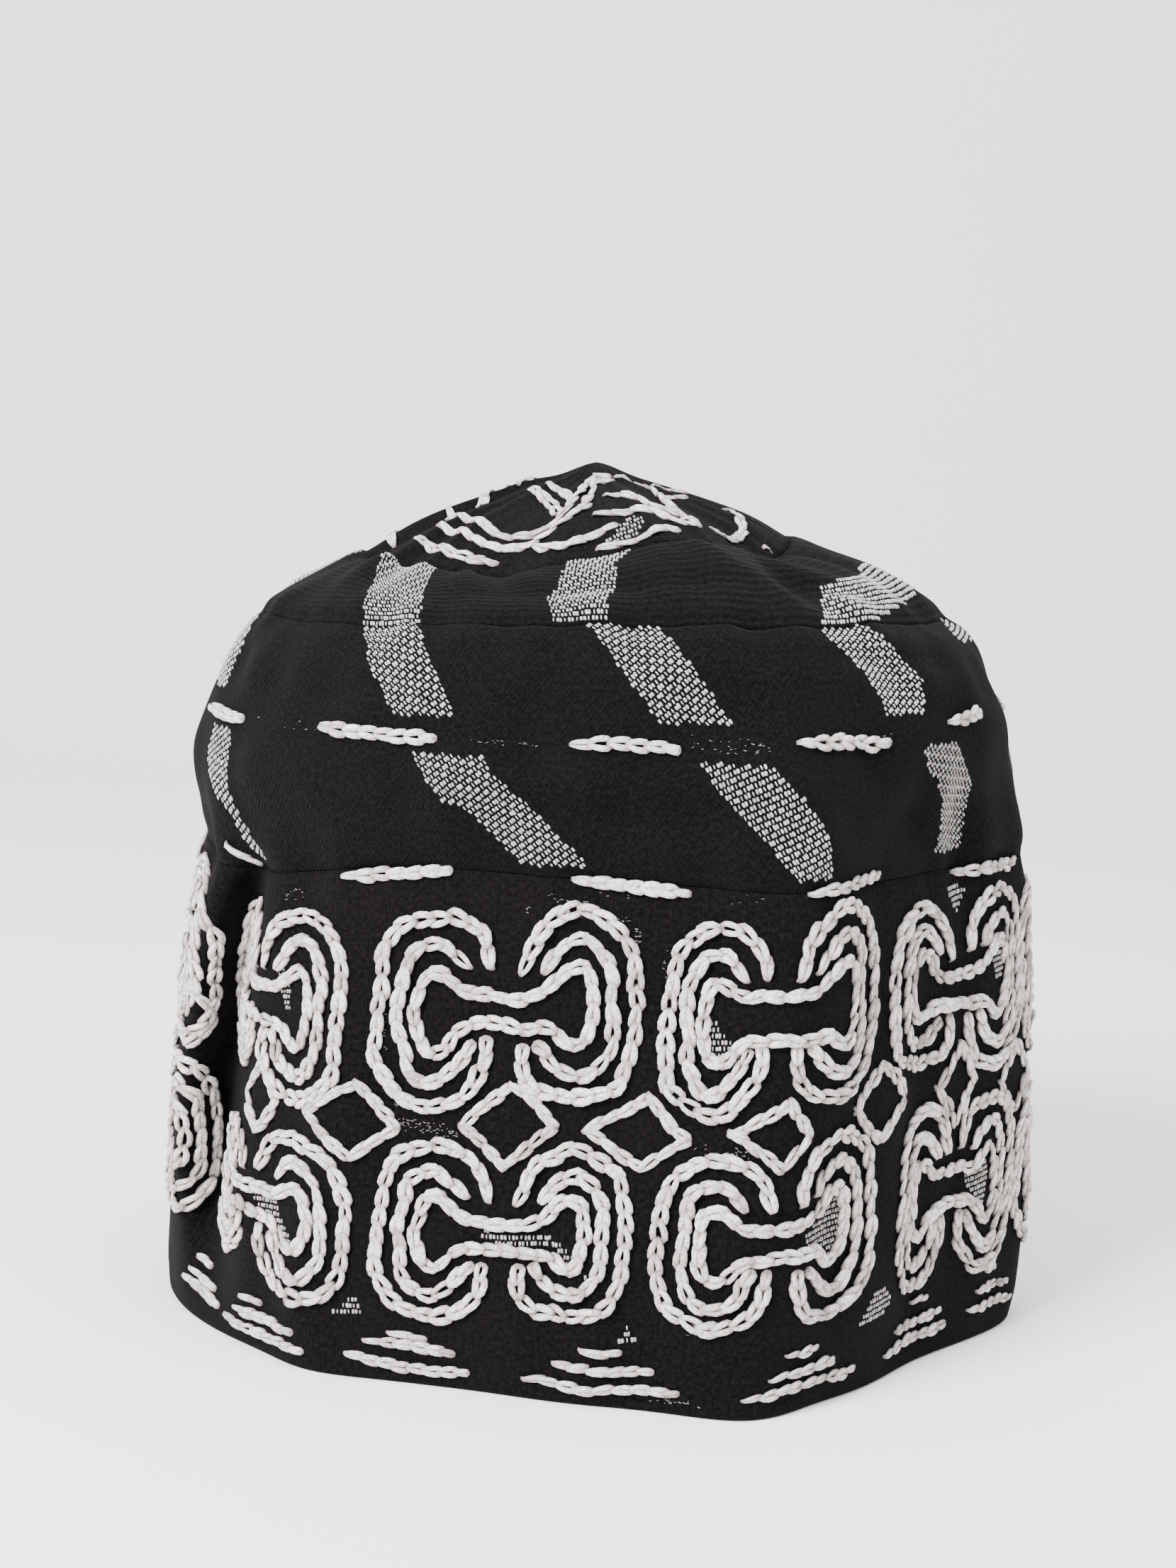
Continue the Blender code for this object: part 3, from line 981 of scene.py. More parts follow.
HALF_OUTER = (
    (0.125, 0.385), (0.15, 0.58), (0.20, 0.74), (0.285, 0.87), (0.40, 0.95), (0.53, 1.0), (0.68, 0.96),
    (0.82, 0.86), (0.905, 0.73), (0.96, 0.54), (0.99, 0.28), (1.0, 0.0), (1.0, -0.27), (0.985, -0.50),
    (0.945, -0.69), (0.865, -0.84), (0.74, -0.945), (0.58, -1.0), (0.41, -0.97), (0.28, -0.87),
    (0.185, -0.70), (0.145, -0.50), (0.14, -0.33),
)

# A scroll's neck is at a length of cloth across from its bearing. Widths and heights are to the
# middle of the outermost stitch, in millimetres; the lobe's own height shifts its two C strokes. Neck
# is how far the neck is opened, beside the chart.
SCROLL_COLUMNS = (
    "bearing", "across", "up", "left", "left_top", "left_bottom",
    "right", "right_top", "right_bottom", "tilt", "neck",
)
UPPER_SCROLLS = (
    (0, -20.7, 78.7, 26.8, 17.2, 20.9, 25.8, 21.4, 15.9, -0.018, 0.99),
    (0, 33.2, 81.4, 21.8, 16.8, 19.8, 28.2, 20.8, 16.4, 0.014, 1.5),
    (0, 96.0, 80.3, 27.5, 18.8, 13.8, 25.7, 19.8, 18.0, 0.02, 1.07),
    (102.0, 0, 79.6, 25.4, 19.0, 18.4, 25.0, 18.8, 18.6, -0.04, 1.0),
    (138.0, 0, 78.8, 25.8, 19.6, 17.8, 25.6, 18.4, 19.2, 0.05, 1.0),
    (172.7, 0, 79.4, 25.2, 18.2, 19.0, 26.0, 19.4, 18.0, 0.0, 1.0),
    (-149.7, 0, 78.4, 25.8, 19.2, 18.6, 25.2, 18.6, 18.8, -0.06, 1.0),
    (-113.9, 0, 80.6, 25.4, 18.4, 18.8, 25.8, 19.6, 18.2, 0.04, 1.0),
    (0, -129.4, 83.4, 24.8, 18.0, 18.0, 24.6, 17.6, 19.0, 0.0, 1.0),
    (0, -79.9, 75.8, 17.0, 20.8, 15.5, 24.9, 20.4, 19.7, -0.004, 1.25),
)
LOWER_SCROLLS = (
    (0, -19.3, 33.0, 25.8, 17.8, 17.8, 24.9, 18.7, 14.8, 0.015, 0.95),
    (0, 37.4, 36.6, 25.3, 16.4, 17.7, 25.9, 20.1, 17.2, 0.008, 1.06),
    (0, 96.1, 37.7, 20.8, 17.9, 20.1, 25.2, 17.7, 20.3, -0.006, 1.23),
    (100.6, 0, 35.4, 25.2, 17.8, 17.6, 25.4, 18.0, 17.8, -0.03, 1.0),
    (135.8, 0, 34.6, 25.6, 18.2, 17.2, 25.0, 17.4, 18.0, 0.05, 1.0),
    (170.0, 0, 35.2, 25.0, 17.4, 17.8, 25.8, 18.2, 17.4, 0.0, 1.0),
    (-153.2, 0, 34.4, 25.6, 18.0, 17.2, 25.2, 17.6, 17.8, -0.05, 1.0),
    (-117.6, 0, 36.2, 25.2, 17.4, 18.0, 25.6, 18.2, 17.2, 0.04, 1.0),
    (0, -128.0, 40.6, 24.4, 18.0, 17.6, 24.0, 17.6, 17.6, 0.0, 1.0),
    (0, -77.1, 32.8, 21.1, 13.4, 13.6, 24.9, 15.2, 17.5, -0.014, 1.03),
)
OUTLINE_WIDTH = 0.98
OUTER_WIDTH = 1.10
OUTLINE_SHAKE = 0.2
SCROLL_SHAKE = 0.28


def anchor(bearing, up):
    """Where a bearing lies across the cloth at a height. The rows in front are measured from 0."""
    return CLOTH.across_at(bearing, CLOTH.level_at(up)) if bearing else 0.0


def scroll_half(chart, scroll, side, neck=1.0):
    """One half's charted points, placed: side -1 is the left half and 1 the right."""
    name = "left" if side < 0 else "right"
    out, rise = np.array(chart).T
    top = scroll[name + "_top"]
    bottom = scroll[name + "_bottom"]
    opened = 1.0 + (neck - 1.0) * (1.0 - eased((out - 0.20) / 0.30))
    across = side * out * scroll[name]
    up = scroll["up"] + scroll["tilt"] * across + rise * opened * (top + bottom) / 2.0
    up += eased((out - 0.15) / 0.35) * (top - bottom) / 2.0
    return np.stack([anchor(scroll["bearing"], up) + scroll["across"] + across, up], axis=1)


def draw_scroll(work, scroll):
    neck = scroll["neck"]
    left = scroll_half(HALF_INNER, scroll, -1, neck)
    right = scroll_half(HALF_INNER, scroll, 1, neck)
    top, bottom = scroll_half((HALF_NECK, (0.0, -HALF_NECK[1])), scroll, 1, neck)
    outline = np.concatenate([[top], right, [bottom], left[::-1]])
    work.stroke(work.by_hand(outline, OUTLINE_SHAKE), STROKE_WIDTH * OUTLINE_WIDTH, closed=True)
    for side in (-1, 1):
        middle = scroll_half(HALF_MIDDLE, scroll, side)
        work.stroke(work.by_hand(middle, SCROLL_SHAKE))
        outer = scroll_half(HALF_OUTER, scroll, side)
        work.stroke(work.by_hand(outer, SCROLL_SHAKE), STROKE_WIDTH * OUTER_WIDTH)


def make_scrolls(material):
    for name, rows in (("scrolls_upper", UPPER_SCROLLS), ("scrolls_lower", LOWER_SCROLLS)):
        work = Embroidery(name)
        for scroll in each(SCROLL_COLUMNS, rows):
            draw_scroll(work, scroll)
        work.piece(material)


# Diamonds between the rows of scrolls: a corner at the left, top, right and bottom.
DIAMOND_COLUMNS = ("bearing", "across", "up", "left", "right", "top", "bottom", "skew")
DIAMONDS = (
    (0, -110.5, 68.4, 9.0, 6.5, 9.2, 7.0, 0.0),
    (0, -76.0, 55.0, 5.5, 5.0, 8.4, 8.6, 0.0),
    (0, -50.8, 53.4, 11.4, 9.6, 8.6, 7.6, 0.8),
    (0, -18.8, 55.6, 10.4, 9.6, 9.0, 8.8, -0.6),
    (0, 8.4, 56.2, 12.6, 9.0, 8.4, 7.2, 0.0),
    (0, 36.6, 57.8, 12.2, 5.4, 7.8, 6.8, 0.4),
    (0, 66.2, 60.4, 10.4, 9.4, 9.2, 7.8, 0.0),
    (0, 97.0, 59.6, 8.6, 6.0, 9.4, 9.0, 0.4),
    (0, 122.0, 57.6, 9.2, 8.8, 8.2, 7.8, 0.0),
    (101.6, 0, 56.4, 10.2, 9.4, 8.6, 8.2, 0.4),
    (120.2, 0, 56.0, 9.6, 9.8, 8.4, 8.0, -0.4),
    (138.8, 0, 56.6, 10.4, 9.0, 8.8, 8.4, 0.0),
    (156.8, 0, 55.8, 9.8, 9.6, 8.2, 8.2, 0.5),
    (175.0, 0, 56.2, 10.0, 9.2, 8.8, 7.8, 0.0),
    (-165.7, 0, 55.6, 9.4, 9.8, 8.4, 8.2, -0.5),
    (-146.0, 0, 56.4, 10.2, 9.0, 8.6, 8.4, 0.0),
    (-127.3, 0, 56.2, 9.6, 9.6, 8.8, 8.0, 0.4),
    (-109.1, 0, 56.8, 9.8, 9.2, 8.4, 8.2, 0.0),
    (-91.1, 0, 58.2, 9.2, 9.4, 8.6, 8.0, 0.0),
)
DIAMOND_SCALE = 0.94
DIAMOND_WIDTH = 0.90
DIAMOND_STRAND = (0.68, 0.46)
DIAMOND_BOTTOM = -0.6
DIAMOND_BOW = 0.03
DIAMOND_SHAKE = 0.15
DIAMOND_OVERLAP = 0.16


def bowed(start, end, bow, pieces=4):
    """A nearly straight run of points, bowed a little sideways."""
    share = np.linspace(0.0, 1.0, pieces)[:, None]
    start = np.array(start, float)
    end = np.array(end, float)
    aside = np.array([start[1] - end[1], end[0] - start[0]])
    return start + (end - start) * share + aside * bow * 4.0 * share * (1.0 - share)


def make_diamonds(material):
    work = Embroidery("diamonds", DIAMOND_STRAND)
    for row in each(DIAMOND_COLUMNS, DIAMONDS):
        middle = np.array([anchor(row["bearing"], row["up"]) + row["across"], row["up"]])
        left = middle + (-DIAMOND_SCALE * row["left"], row["skew"])
        top = middle + (0.0, DIAMOND_SCALE * row["top"])
        right = middle + (DIAMOND_SCALE * row["right"], -row["skew"])
        bottom = middle + (DIAMOND_BOTTOM, -DIAMOND_SCALE * row["bottom"])
        for start, end in ((left, top), (top, right), (left, bottom), (bottom, right)):
            line = bowed(start, end, work.hand.normal(0.0, DIAMOND_BOW))
            # each side starts a little beyond its corner
            line[0] -= (line[1] - line[0]) * DIAMOND_OVERLAP
            work.stroke(work.by_hand(line, DIAMOND_SHAKE), STROKE_WIDTH * DIAMOND_WIDTH)
    work.piece(material)


# Stacks of three dashes above the rim, short over middle over long: where each starts and ends across
# the cloth, how high the short one lies, and how far the next lies below the last.
STACK_COLUMNS = (
    "bearing", "short_from", "short_to", "middle_from", "middle_to",
    "long_from", "long_to", "up", "drop", "tilt",
)
STACKS = (
    (0, -100.8, -95.6, -102.4, -91.6, -104.0, -88.6, 12.6, 2.9, -0.20),
    (0, -79.8, -73.0, -82.0, -62.2, -85.6, -59.7, 10.9, 3.1, -0.02),
    (0, -42.2, -34.0, -47.2, -28.0, -50.8, -24.9, 10.3, 2.8, -0.06),
    (0, -2.4, 5.9, -7.9, 12.5, -13.8, 18.0, 11.7, 3.6, 0.0),
    (0, 39.9, 49.2, 36.3, 54.7, 30.6, 61.9, 12.7, 4.0, 0.04),
    (0, 85.0, 91.4, 78.1, 96.8, 73.3, 98.6, 13.6, 3.9, 0.05),
    (0, 112.7, 118.7, 109.0, 124.9, 106.0, 127.4, 15.2, 4.1, -0.06),
    (103.5, -4.8, 4.4, -10.2, 9.6, -15.0, 14.6, 12.8, 3.8, 0.02),
    (127.1, -4.2, 4.8, -9.4, 10.2, -14.2, 15.2, 12.2, 3.7, -0.02),
    (150.7, -4.6, 4.2, -10.0, 9.2, -15.4, 14.0, 12.6, 3.8, 0.02),
    (173.8, -4.4, 4.6, -9.6, 9.8, -14.4, 14.8, 12.0, 3.6, 0.0),
    (-161.4, -4.8, 4.2, -10.2, 9.4, -15.0, 14.2, 12.6, 3.8, -0.03),
    (-136.6, -4.2, 4.6, -9.2, 10.0, -14.2, 14.8, 12.2, 3.7, 0.02),
    (-113.0, -4.6, 4.4, -9.8, 9.6, -14.8, 14.4, 12.8, 3.8, 0.0),
)
STACK_WIDTH = 2.35
STACK_STRAND = (0.60, 0.42)
STACK_SHAKE = 0.15
STACK_BOW = 0.015
DASH_STITCH = 3.4


def make_stacks(material):
    work = Embroidery("rim_stacks", STACK_STRAND)
    for row in each(STACK_COLUMNS, STACKS):
        here = anchor(row["bearing"], row["up"])
        middle = (row["short_from"] + row["short_to"]) / 2.0
        for index, length in enumerate(("short", "middle", "long")):
            up = row["up"] - index * row["drop"] + work.hand.normal(0.0, STACK_SHAKE)
            start, end = (
                (here + across, up + row["tilt"] * (across - middle))
                for across in (row[length + "_from"], row[length + "_to"])
            )
            line = bowed(start, end, work.hand.normal(0.0, STACK_BOW))
            work.stroke(line, STACK_WIDTH, stitch=DASH_STITCH, pointed=True)
    work.piece(material)


# Dashes of chain stitch along the tiers: where each starts and ends.
DASH_COLUMNS = ("bearing", "across", "up", "end_across", "end_up", "width")
DASHES = (
    (0, -62.0, 134.8, -34.6, 134.0, 3.3),
    (0, -7.6, 133.6, 13.6, 133.4, 3.2),
    (0, 37.2, 134.8, 61.8, 133.6, 3.3),
    (0, 79.0, 136.8, 92.5, 138.0, 3.4),
    (0, -103.0, 135.4, -86.6, 134.0, 3.2),
    (0, -56.8, 104.2, -33.2, 105.2, 3.0),
    (0, -8.6, 105.6, 14.6, 104.2, 3.1),
    (0, 38.0, 105.4, 63.4, 107.2, 3.0),
    (0, 94.2, 104.6, 119.6, 105.2, 3.0),
    (0, -91.2, 110.9, -85.2, 106.4, 2.0),
    (97.5, -10.0, 135.8, 13.0, 136.2, 3.2),
    (129.0, -12.0, 134.2, 11.0, 133.6, 3.2),
    (160.9, -11.0, 133.8, 12.0, 134.4, 3.2),
    (-166.0, -12.0, 134.2, 11.0, 133.6, 3.2),
    (-133.3, -10.0, 133.4, 12.0, 134.2, 3.2),
    (-101.6, -12.0, 134.6, 8.0, 134.8, 3.2),
    (112.6, -12.0, 105.2, 12.0, 104.6, 3.1),
    (147.9, -11.0, 104.6, 13.0, 105.2, 3.1),
    (-177.2, -12.0, 105.4, 12.0, 105.0, 3.1),
    (-140.0, -13.0, 104.8, 11.0, 105.4, 3.1),
    (-104.9, -12.0, 105.2, 12.0, 106.4, 3.1),
)
DASH_BOW = 0.012


def make_dashes(material):
    work = Embroidery("tier_dashes")
    for row in each(DASH_COLUMNS, DASHES):
        here = anchor(row["bearing"], row["up"])
        start = (here + row["across"], row["up"])
        end = (here + row["end_across"], row["end_up"])
        line = bowed(start, end, work.hand.normal(0.0, DASH_BOW), 5)
        work.stroke(line, row["width"], stitch=DASH_STITCH, pointed=True)
    work.piece(material)


# The round top's strokes, in plan from the peak: right, and towards the back.
TOP_STROKES = {
    "left loop end": ((-43, -10), (-43, -5), (-42, -1)),
    "upper sweep": (
        (-31, -4), (-30, -13), (-26, -19), (-23, -24), (-19, -29), (-15, -30.5), (-11, -30), (-8, -28.5),
        (-5, -23), (-3, -17), (-1.5, -11), (0, -8.5), (3, -8),
    ),
    "second sweep": (
        (-33, -15), (-31, -20), (-28, -24), (-23, -30), (-18, -33.5), (-13, -34), (-9, -32.5), (-5, -30),
        (-2.5, -26), (-0.5, -19), (1, -12), (4, -10.5),
    ),
    "lower left sweep": ((-37, -19), (-34, -24), (-30, -30), (-25, -34), (-19, -37)),
    "broad dash": ((-14, -9), (-11, -14), (-7, -23)),
    "narrow dash": ((-10, -9), (-7, -13), (-4.5, -18)),
    "front arc": ((-12, -35), (-9, -37.5), (-5, -39), (0, -37), (5, -35)),
    "lower arc": ((1, -41), (7, -41), (11, -39), (14, -36), (18, -35)),
    "right upper stroke": ((2, -21), (5, -21), (8, -23), (12, -26), (18, -28)),
    "right lower stroke": ((0, -29), (5, -31), (12, -30), (17, -31), (22, -29)),
    "ridge stroke": ((4, -7), (8, -9), (12, -16), (15.5, -24), (19, -28.5), (22, -30)),
    "inner crest stroke": ((14, -10), (17, -8), (20, -6.5)),
    "outer crest stroke": ((12, -4), (16, -2), (20, 0)),
    "right loop": ((24, -24), (28, -21), (31, -18), (32, -13), (31, -8), (29, -3)),
    "right dot": ((36, -17), (38, -14)),
    "left crest stroke": ((-25, -8), (-22, -1), (-17, 4)),
    "left crest dash": ((-16, -3), (-12, 3)),
    "back sweep": (
        (31, 6), (29, 14), (23, 24), (18, 28), (12, 29), (7, 26), (4, 20), (2, 13), (-1, 8), (-5, 9),
        (-9, 15),
    ),
    "back return": ((-12, 20), (-17, 26), (-24, 27), (-30, 21)),
    "back second sweep": ((35, 12), (30, 23), (23, 31), (15, 34), (10, 32), (5, 28), (2, 20), (-1, 14)),
    "back outer sweep": ((40, 10), (37, 20), (31, 29), (24, 36), (16, 38)),
    "back arc": ((8, 36), (1, 38), (-6, 38), (-12, 35)),
    "back lower arc": ((-4, 43), (-12, 42), (-20, 37), (-27, 29)),
    "left inner sweep": ((-30, 8), (-24, 11), (-18, 9), (-13, 4), (-8, 3)),
    "left outer sweep": ((-37, 6), (-34, 14), (-28, 17), (-20, 16), (-14, 11)),
}
TOP_WIDTHS = {
    "upper sweep": 2.2, "second sweep": 2.2, "ridge stroke": 1.6, "inner crest stroke": 1.8,
    "outer crest stroke": 1.8, "broad dash": 3.0, "right upper stroke": 2.3, "lower arc": 2.1,
}
TOP_STROKE_WIDTH = 2.55
TOP_STRAND = (0.69, 0.32)
TOP_STITCH = 3.8


def make_top_embroidery(material):
    work = Embroidery("top_scrolls", TOP_STRAND, CLOTH.on_top)
    for name, points in TOP_STROKES.items():
        work.stroke(points, TOP_WIDTHS.get(name, TOP_STROKE_WIDTH), stitch=TOP_STITCH)
    work.piece(material)


# Woven check. Each row of the weave is a pair of white floats, then a thin bright one between two slits
# of black cloth; the next row is moved half a repeat along. "Along" is along the row, and the floats
# stand across it.
WEAVE_REPEAT = 2.38
WEAVE_ROW = 1.25
FLOAT_COLUMNS = ("along", "half_width", "half_length", "tone")
WEAVE = ((-0.32, 0.295, 0.57, 0.76), (0.32, 0.295, 0.57, 0.70), (1.19, 0.155, 0.52, 1.0))

# Each float is a small pillow: a six-sided outline in rings, from the cloth to the middle point on top,
# each with its spread and its rise in millimetres.
FLOAT_OUTLINE = ((1.0, 0.0), (0.72, 0.80), (-0.72, 0.80), (-1.0, 0.0), (-0.72, -0.80), (0.72, -0.80))
FLOAT_LAYERS = ((0.96, -0.08), (1.02, 0.12), (0.58, 0.27), (0.0, 0.31))
FLOAT_SCATTER = 0.035
FLOAT_SIZE_SPREAD = 0.08
FLOAT_TURN = 3.0
FLOAT_TONE_SPREAD = 0.12
# The painted shade on a float's two lowest rings, where it meets the cloth: the share of the light left
# there.
FLOAT_FOOT_LIGHT = 0.55
FLOAT_MARGIN = 0.1


def turned(points, angle):
    """Flat points turned anticlockwise, by radians."""
    x = points[..., 0]
    y = points[..., 1]
    return np.stack([x * np.cos(angle) - y * np.sin(angle), x * np.sin(angle) + y * np.cos(angle)], axis=-1)


def pillow_faces(sides, rounds):
    """Rounds of triangles between rings of points, and a fan to the middle point."""
    faces = []
    for side in range(sides):
        right = (side + 1) % sides
        for low in range(0, rounds * sides, sides):
            high = low + sides
            faces.append((low + side, low + right, high + right))
            faces.append((low + side, high + right, high + side))
        last = rounds * sides
        faces.append((last + side, last + right, last + sides))
    return np.array(faces)


class Check:
    """Collects the floats of the woven check, and makes them into one mesh of small pillows."""

    def __init__(self, name, brightness, on_cloth=CLOTH.on_walls):
        self.name = name
        self.rng = np.random.default_rng(SEEDS[name])
        self.brightness = brightness
        self.on_cloth = on_cloth
        # each row: place across and up, half width, half length, turn in radians, tone
        self.floats = []

    def region(self, left_edge, right_edge, grain):
        """Weaves the cloth between two edges, each a run of (across, up) points from the top down.

        Grain is how far the cloth's floats are turned anticlockwise from upright, in degrees.
        """
        left_edge = np.array(left_edge, float)[::-1]
        right_edge = np.array(right_edge, float)[::-1]
        corners = np.concatenate([left_edge, right_edge])
        middle = (corners.min(axis=0) + corners.max(axis=0)) / 2.0
        reach = np.hypot(*np.ptp(corners, axis=0)) / 2.0
        rows = int(reach / WEAVE_ROW) + 1
        columns = int(reach / WEAVE_REPEAT) + 1
        row, column = np.meshgrid(np.arange(-rows, rows + 1), np.arange(-columns, columns + 1))
        for yarn in each(FLOAT_COLUMNS, WEAVE):
            along = (column + 0.5 * (row % 2)) * WEAVE_REPEAT + yarn["along"]
            flat = np.stack([along, row * WEAVE_ROW], axis=-1).reshape(-1, 2)
            places = turned(flat, math.radians(grain)) + middle
            across, up = places.T
            left = np.interp(up, left_edge[:, 1], left_edge[:, 0]) + FLOAT_MARGIN
            right = np.interp(up, right_edge[:, 1], right_edge[:, 0]) - FLOAT_MARGIN
            inside = (across > left) & (across < right) & (up > left_edge[0, 1]) & (up < left_edge[-1, 1])
            places = places[inside]
            count = len(places)
            size = (yarn["half_width"], yarn["half_length"])
            self.floats.append(np.column_stack([
                places + self.rng.normal(0.0, FLOAT_SCATTER, (count, 2)),
                size * (1.0 + self.rng.normal(0.0, FLOAT_SIZE_SPREAD, (count, 2))),
                np.radians(grain + self.rng.normal(0.0, FLOAT_TURN, count)),
                yarn["tone"] + self.rng.normal(0.0, FLOAT_TONE_SPREAD, count),
            ]))

    def specks(self, across, up, width, height, count):
        """White threads that show through the dye, here and there."""
        self.floats.append(np.column_stack([
            self.rng.uniform(-0.5, 0.5, (count, 2)) * (width, height) + (across, up),
            self.rng.uniform(*SPECK_SIZES, (count, 2)),
            self.rng.normal(0.0, SPECK_TURN, count),
            self.rng.uniform(*SPECK_TONES, count),
        ]))

    def piece(self, material):
        """Makes the collected floats into pillows of yarn."""
        floats = np.concatenate(self.floats)
        sides = len(FLOAT_OUTLINE)
        rings = []
        for spread, rise in FLOAT_LAYERS:
            corners = np.array(FLOAT_OUTLINE) * spread if spread > 0.0 else np.zeros((1, 2))
            flat = turned(corners * floats[:, None, 2:4], floats[:, None, 4]) + floats[:, None, :2]
            places, normals = self.on_cloth(flat.reshape(-1, 2))
            rings.append((places + normals * rise).reshape(*flat.shape[:2], 3))
        points = np.concatenate(rings, axis=1)
        count, size, _ = points.shape
        tone = np.repeat(np.clip(floats[:, 5:], 0.05, 1.0) * self.brightness, size, axis=1)
        # painted shade at the foot of each float, where it meets the cloth
        tone[:, : 2 * sides] *= FLOAT_FOOT_LIGHT
        faces = repeated(pillow_faces(sides, len(FLOAT_LAYERS) - 2), count, size)
        yarn_piece(self.name, points, faces, points, tone, material)


# The stripes of check on each tier: the cloth's grain, then the left and right edges from the top down,
# as (across, up). The hidden ones have a bearing and an offset, and share their edges.
LOWER_STRIPES = (
    (38, ((-40.2, 130.6), (-37.4, 126.0), (-33.4, 120.4), (-28.6, 119.4), (-19.4, 108.0)),
     ((-24.4, 131.0), (-22.8, 127.0), (-18.8, 123.8), (-13.6, 118.6), (-5.2, 108.6))),
    (25, ((17.0, 130.6), (24.8, 121.0), (30.4, 115.0), (35.4, 108.2)),
     ((31.6, 131.0), (38.4, 124.0), (43.4, 117.0), (44.4, 108.0))),
    (38, ((71.8, 132.5), (75.4, 128.4), (81.0, 125.2), (86.9, 120.3), (88.0, 115.8), (86.2, 109.6)),
     ((84.1, 132.4), (90.7, 128.0), (97.5, 123.1), (99.4, 119.3), (98.9, 115.0), (97.6, 108.6))),
    (36, ((-100.3, 131.5), (-101.1, 125.4), (-98.6, 121.5), (-93.7, 118.3), (-88.6, 115.0), (-83.7, 108.6)),
     ((-91.9, 131.5), (-91.0, 126.6), (-90.2, 122.4), (-88.0, 118.3), (-83.7, 113.1), (-79.0, 108.6))),
)
HIDDEN_LOWER_STRIPES = ((101.0, 0.0), (138.0, 1.0), (176.0, -1.0), (-146.0, 0.0), (-112.0, 1.0))
HIDDEN_LOWER_EDGES = (
    ((-19.0, 131.0), (-12.0, 122.0), (-7.0, 116.0), (2.0, 108.2)),
    ((-4.0, 131.2), (3.0, 123.0), (8.0, 116.0), (16.0, 108.4)),
)
UPPER_STRIPES = (
    (40, ((-52.4, 159.3), (-50.0, 149.0), (-44.0, 138.4)),
     ((-38.2, 159.3), (-35.2, 149.0), (-30.6, 138.6))),
    (40, ((-3.8, 159.3), (3.0, 148.0), (9.6, 138.2)),
     ((10.8, 159.3), (17.2, 148.0), (24.4, 138.4))),
    (42, ((45.2, 159.3), (53.4, 149.0), (60.4, 138.8)),
     ((55.8, 159.3), (62.6, 153.0), (69.2, 146.0), (71.0, 138.4))),
    (40, ((-101.5, 158.8), (-103.4, 151.3), (-105.0, 145.5), (-104.0, 140.1)),
     ((-91.8, 158.8), (-95.9, 151.3), (-97.6, 145.4), (-97.6, 140.1))),
)
HIDDEN_UPPER_STRIPES = ((97.0, 0.0), (124.5, 1.0), (157.3, -1.0), (-163.7, 0.0), (-125.6, 1.0))
HIDDEN_UPPER_EDGES = (
    ((-9.0, 159.3), (-4.0, 149.0), (3.0, 138.4)),
    ((5.0, 159.3), (11.0, 149.0), (18.0, 138.6)),
)
SHOULDER_STRIPES = (
    (0, ((-106.0, 166.0), (-106.0, 159.8)),
     ((-101.0, 166.0), (-94.0, 159.8))),
    (0, ((-46.6, 187.7), (-47.6, 186.0), (-48.4, 182.0), (-50.0, 172.0), (-52.2, 159.6)),
     ((-30.7, 187.7), (-30.8, 186.0), (-32.6, 181.0), (-36.4, 168.0), (-37.2, 159.6))),
    (0, ((-2.0, 187.0), (-4.6, 180.0), (-8.4, 171.0), (-10.2, 170.0), (-10.2, 159.6)),
     ((12.0, 187.0), (7.0, 181.0), (4.4, 172.0), (2.0, 166.0), (1.0, 159.6))),
    (0, ((75.0, 176.6), (66.0, 172.6), (52.4, 171.6), (49.4, 166.0), (45.6, 159.6)),
     ((85.6, 176.6), (86.5, 171.0), (86.2, 166.4), (70.0, 163.0), (58.0, 159.6))),
)
HIDDEN_SHOULDER_STRIPES = ((112.0, 0.0), (150.0, 1.0), (-170.0, -1.0), (-132.0, 0.0), (-92.0, 1.0))
HIDDEN_SHOULDER_EDGES = (
    ((-4.0, 187.0), (-5.0, 178.0), (-8.0, 169.0), (-8.0, 159.6)),
    ((8.0, 187.0), (8.0, 178.0), (6.0, 169.0), (5.0, 159.6)),
)

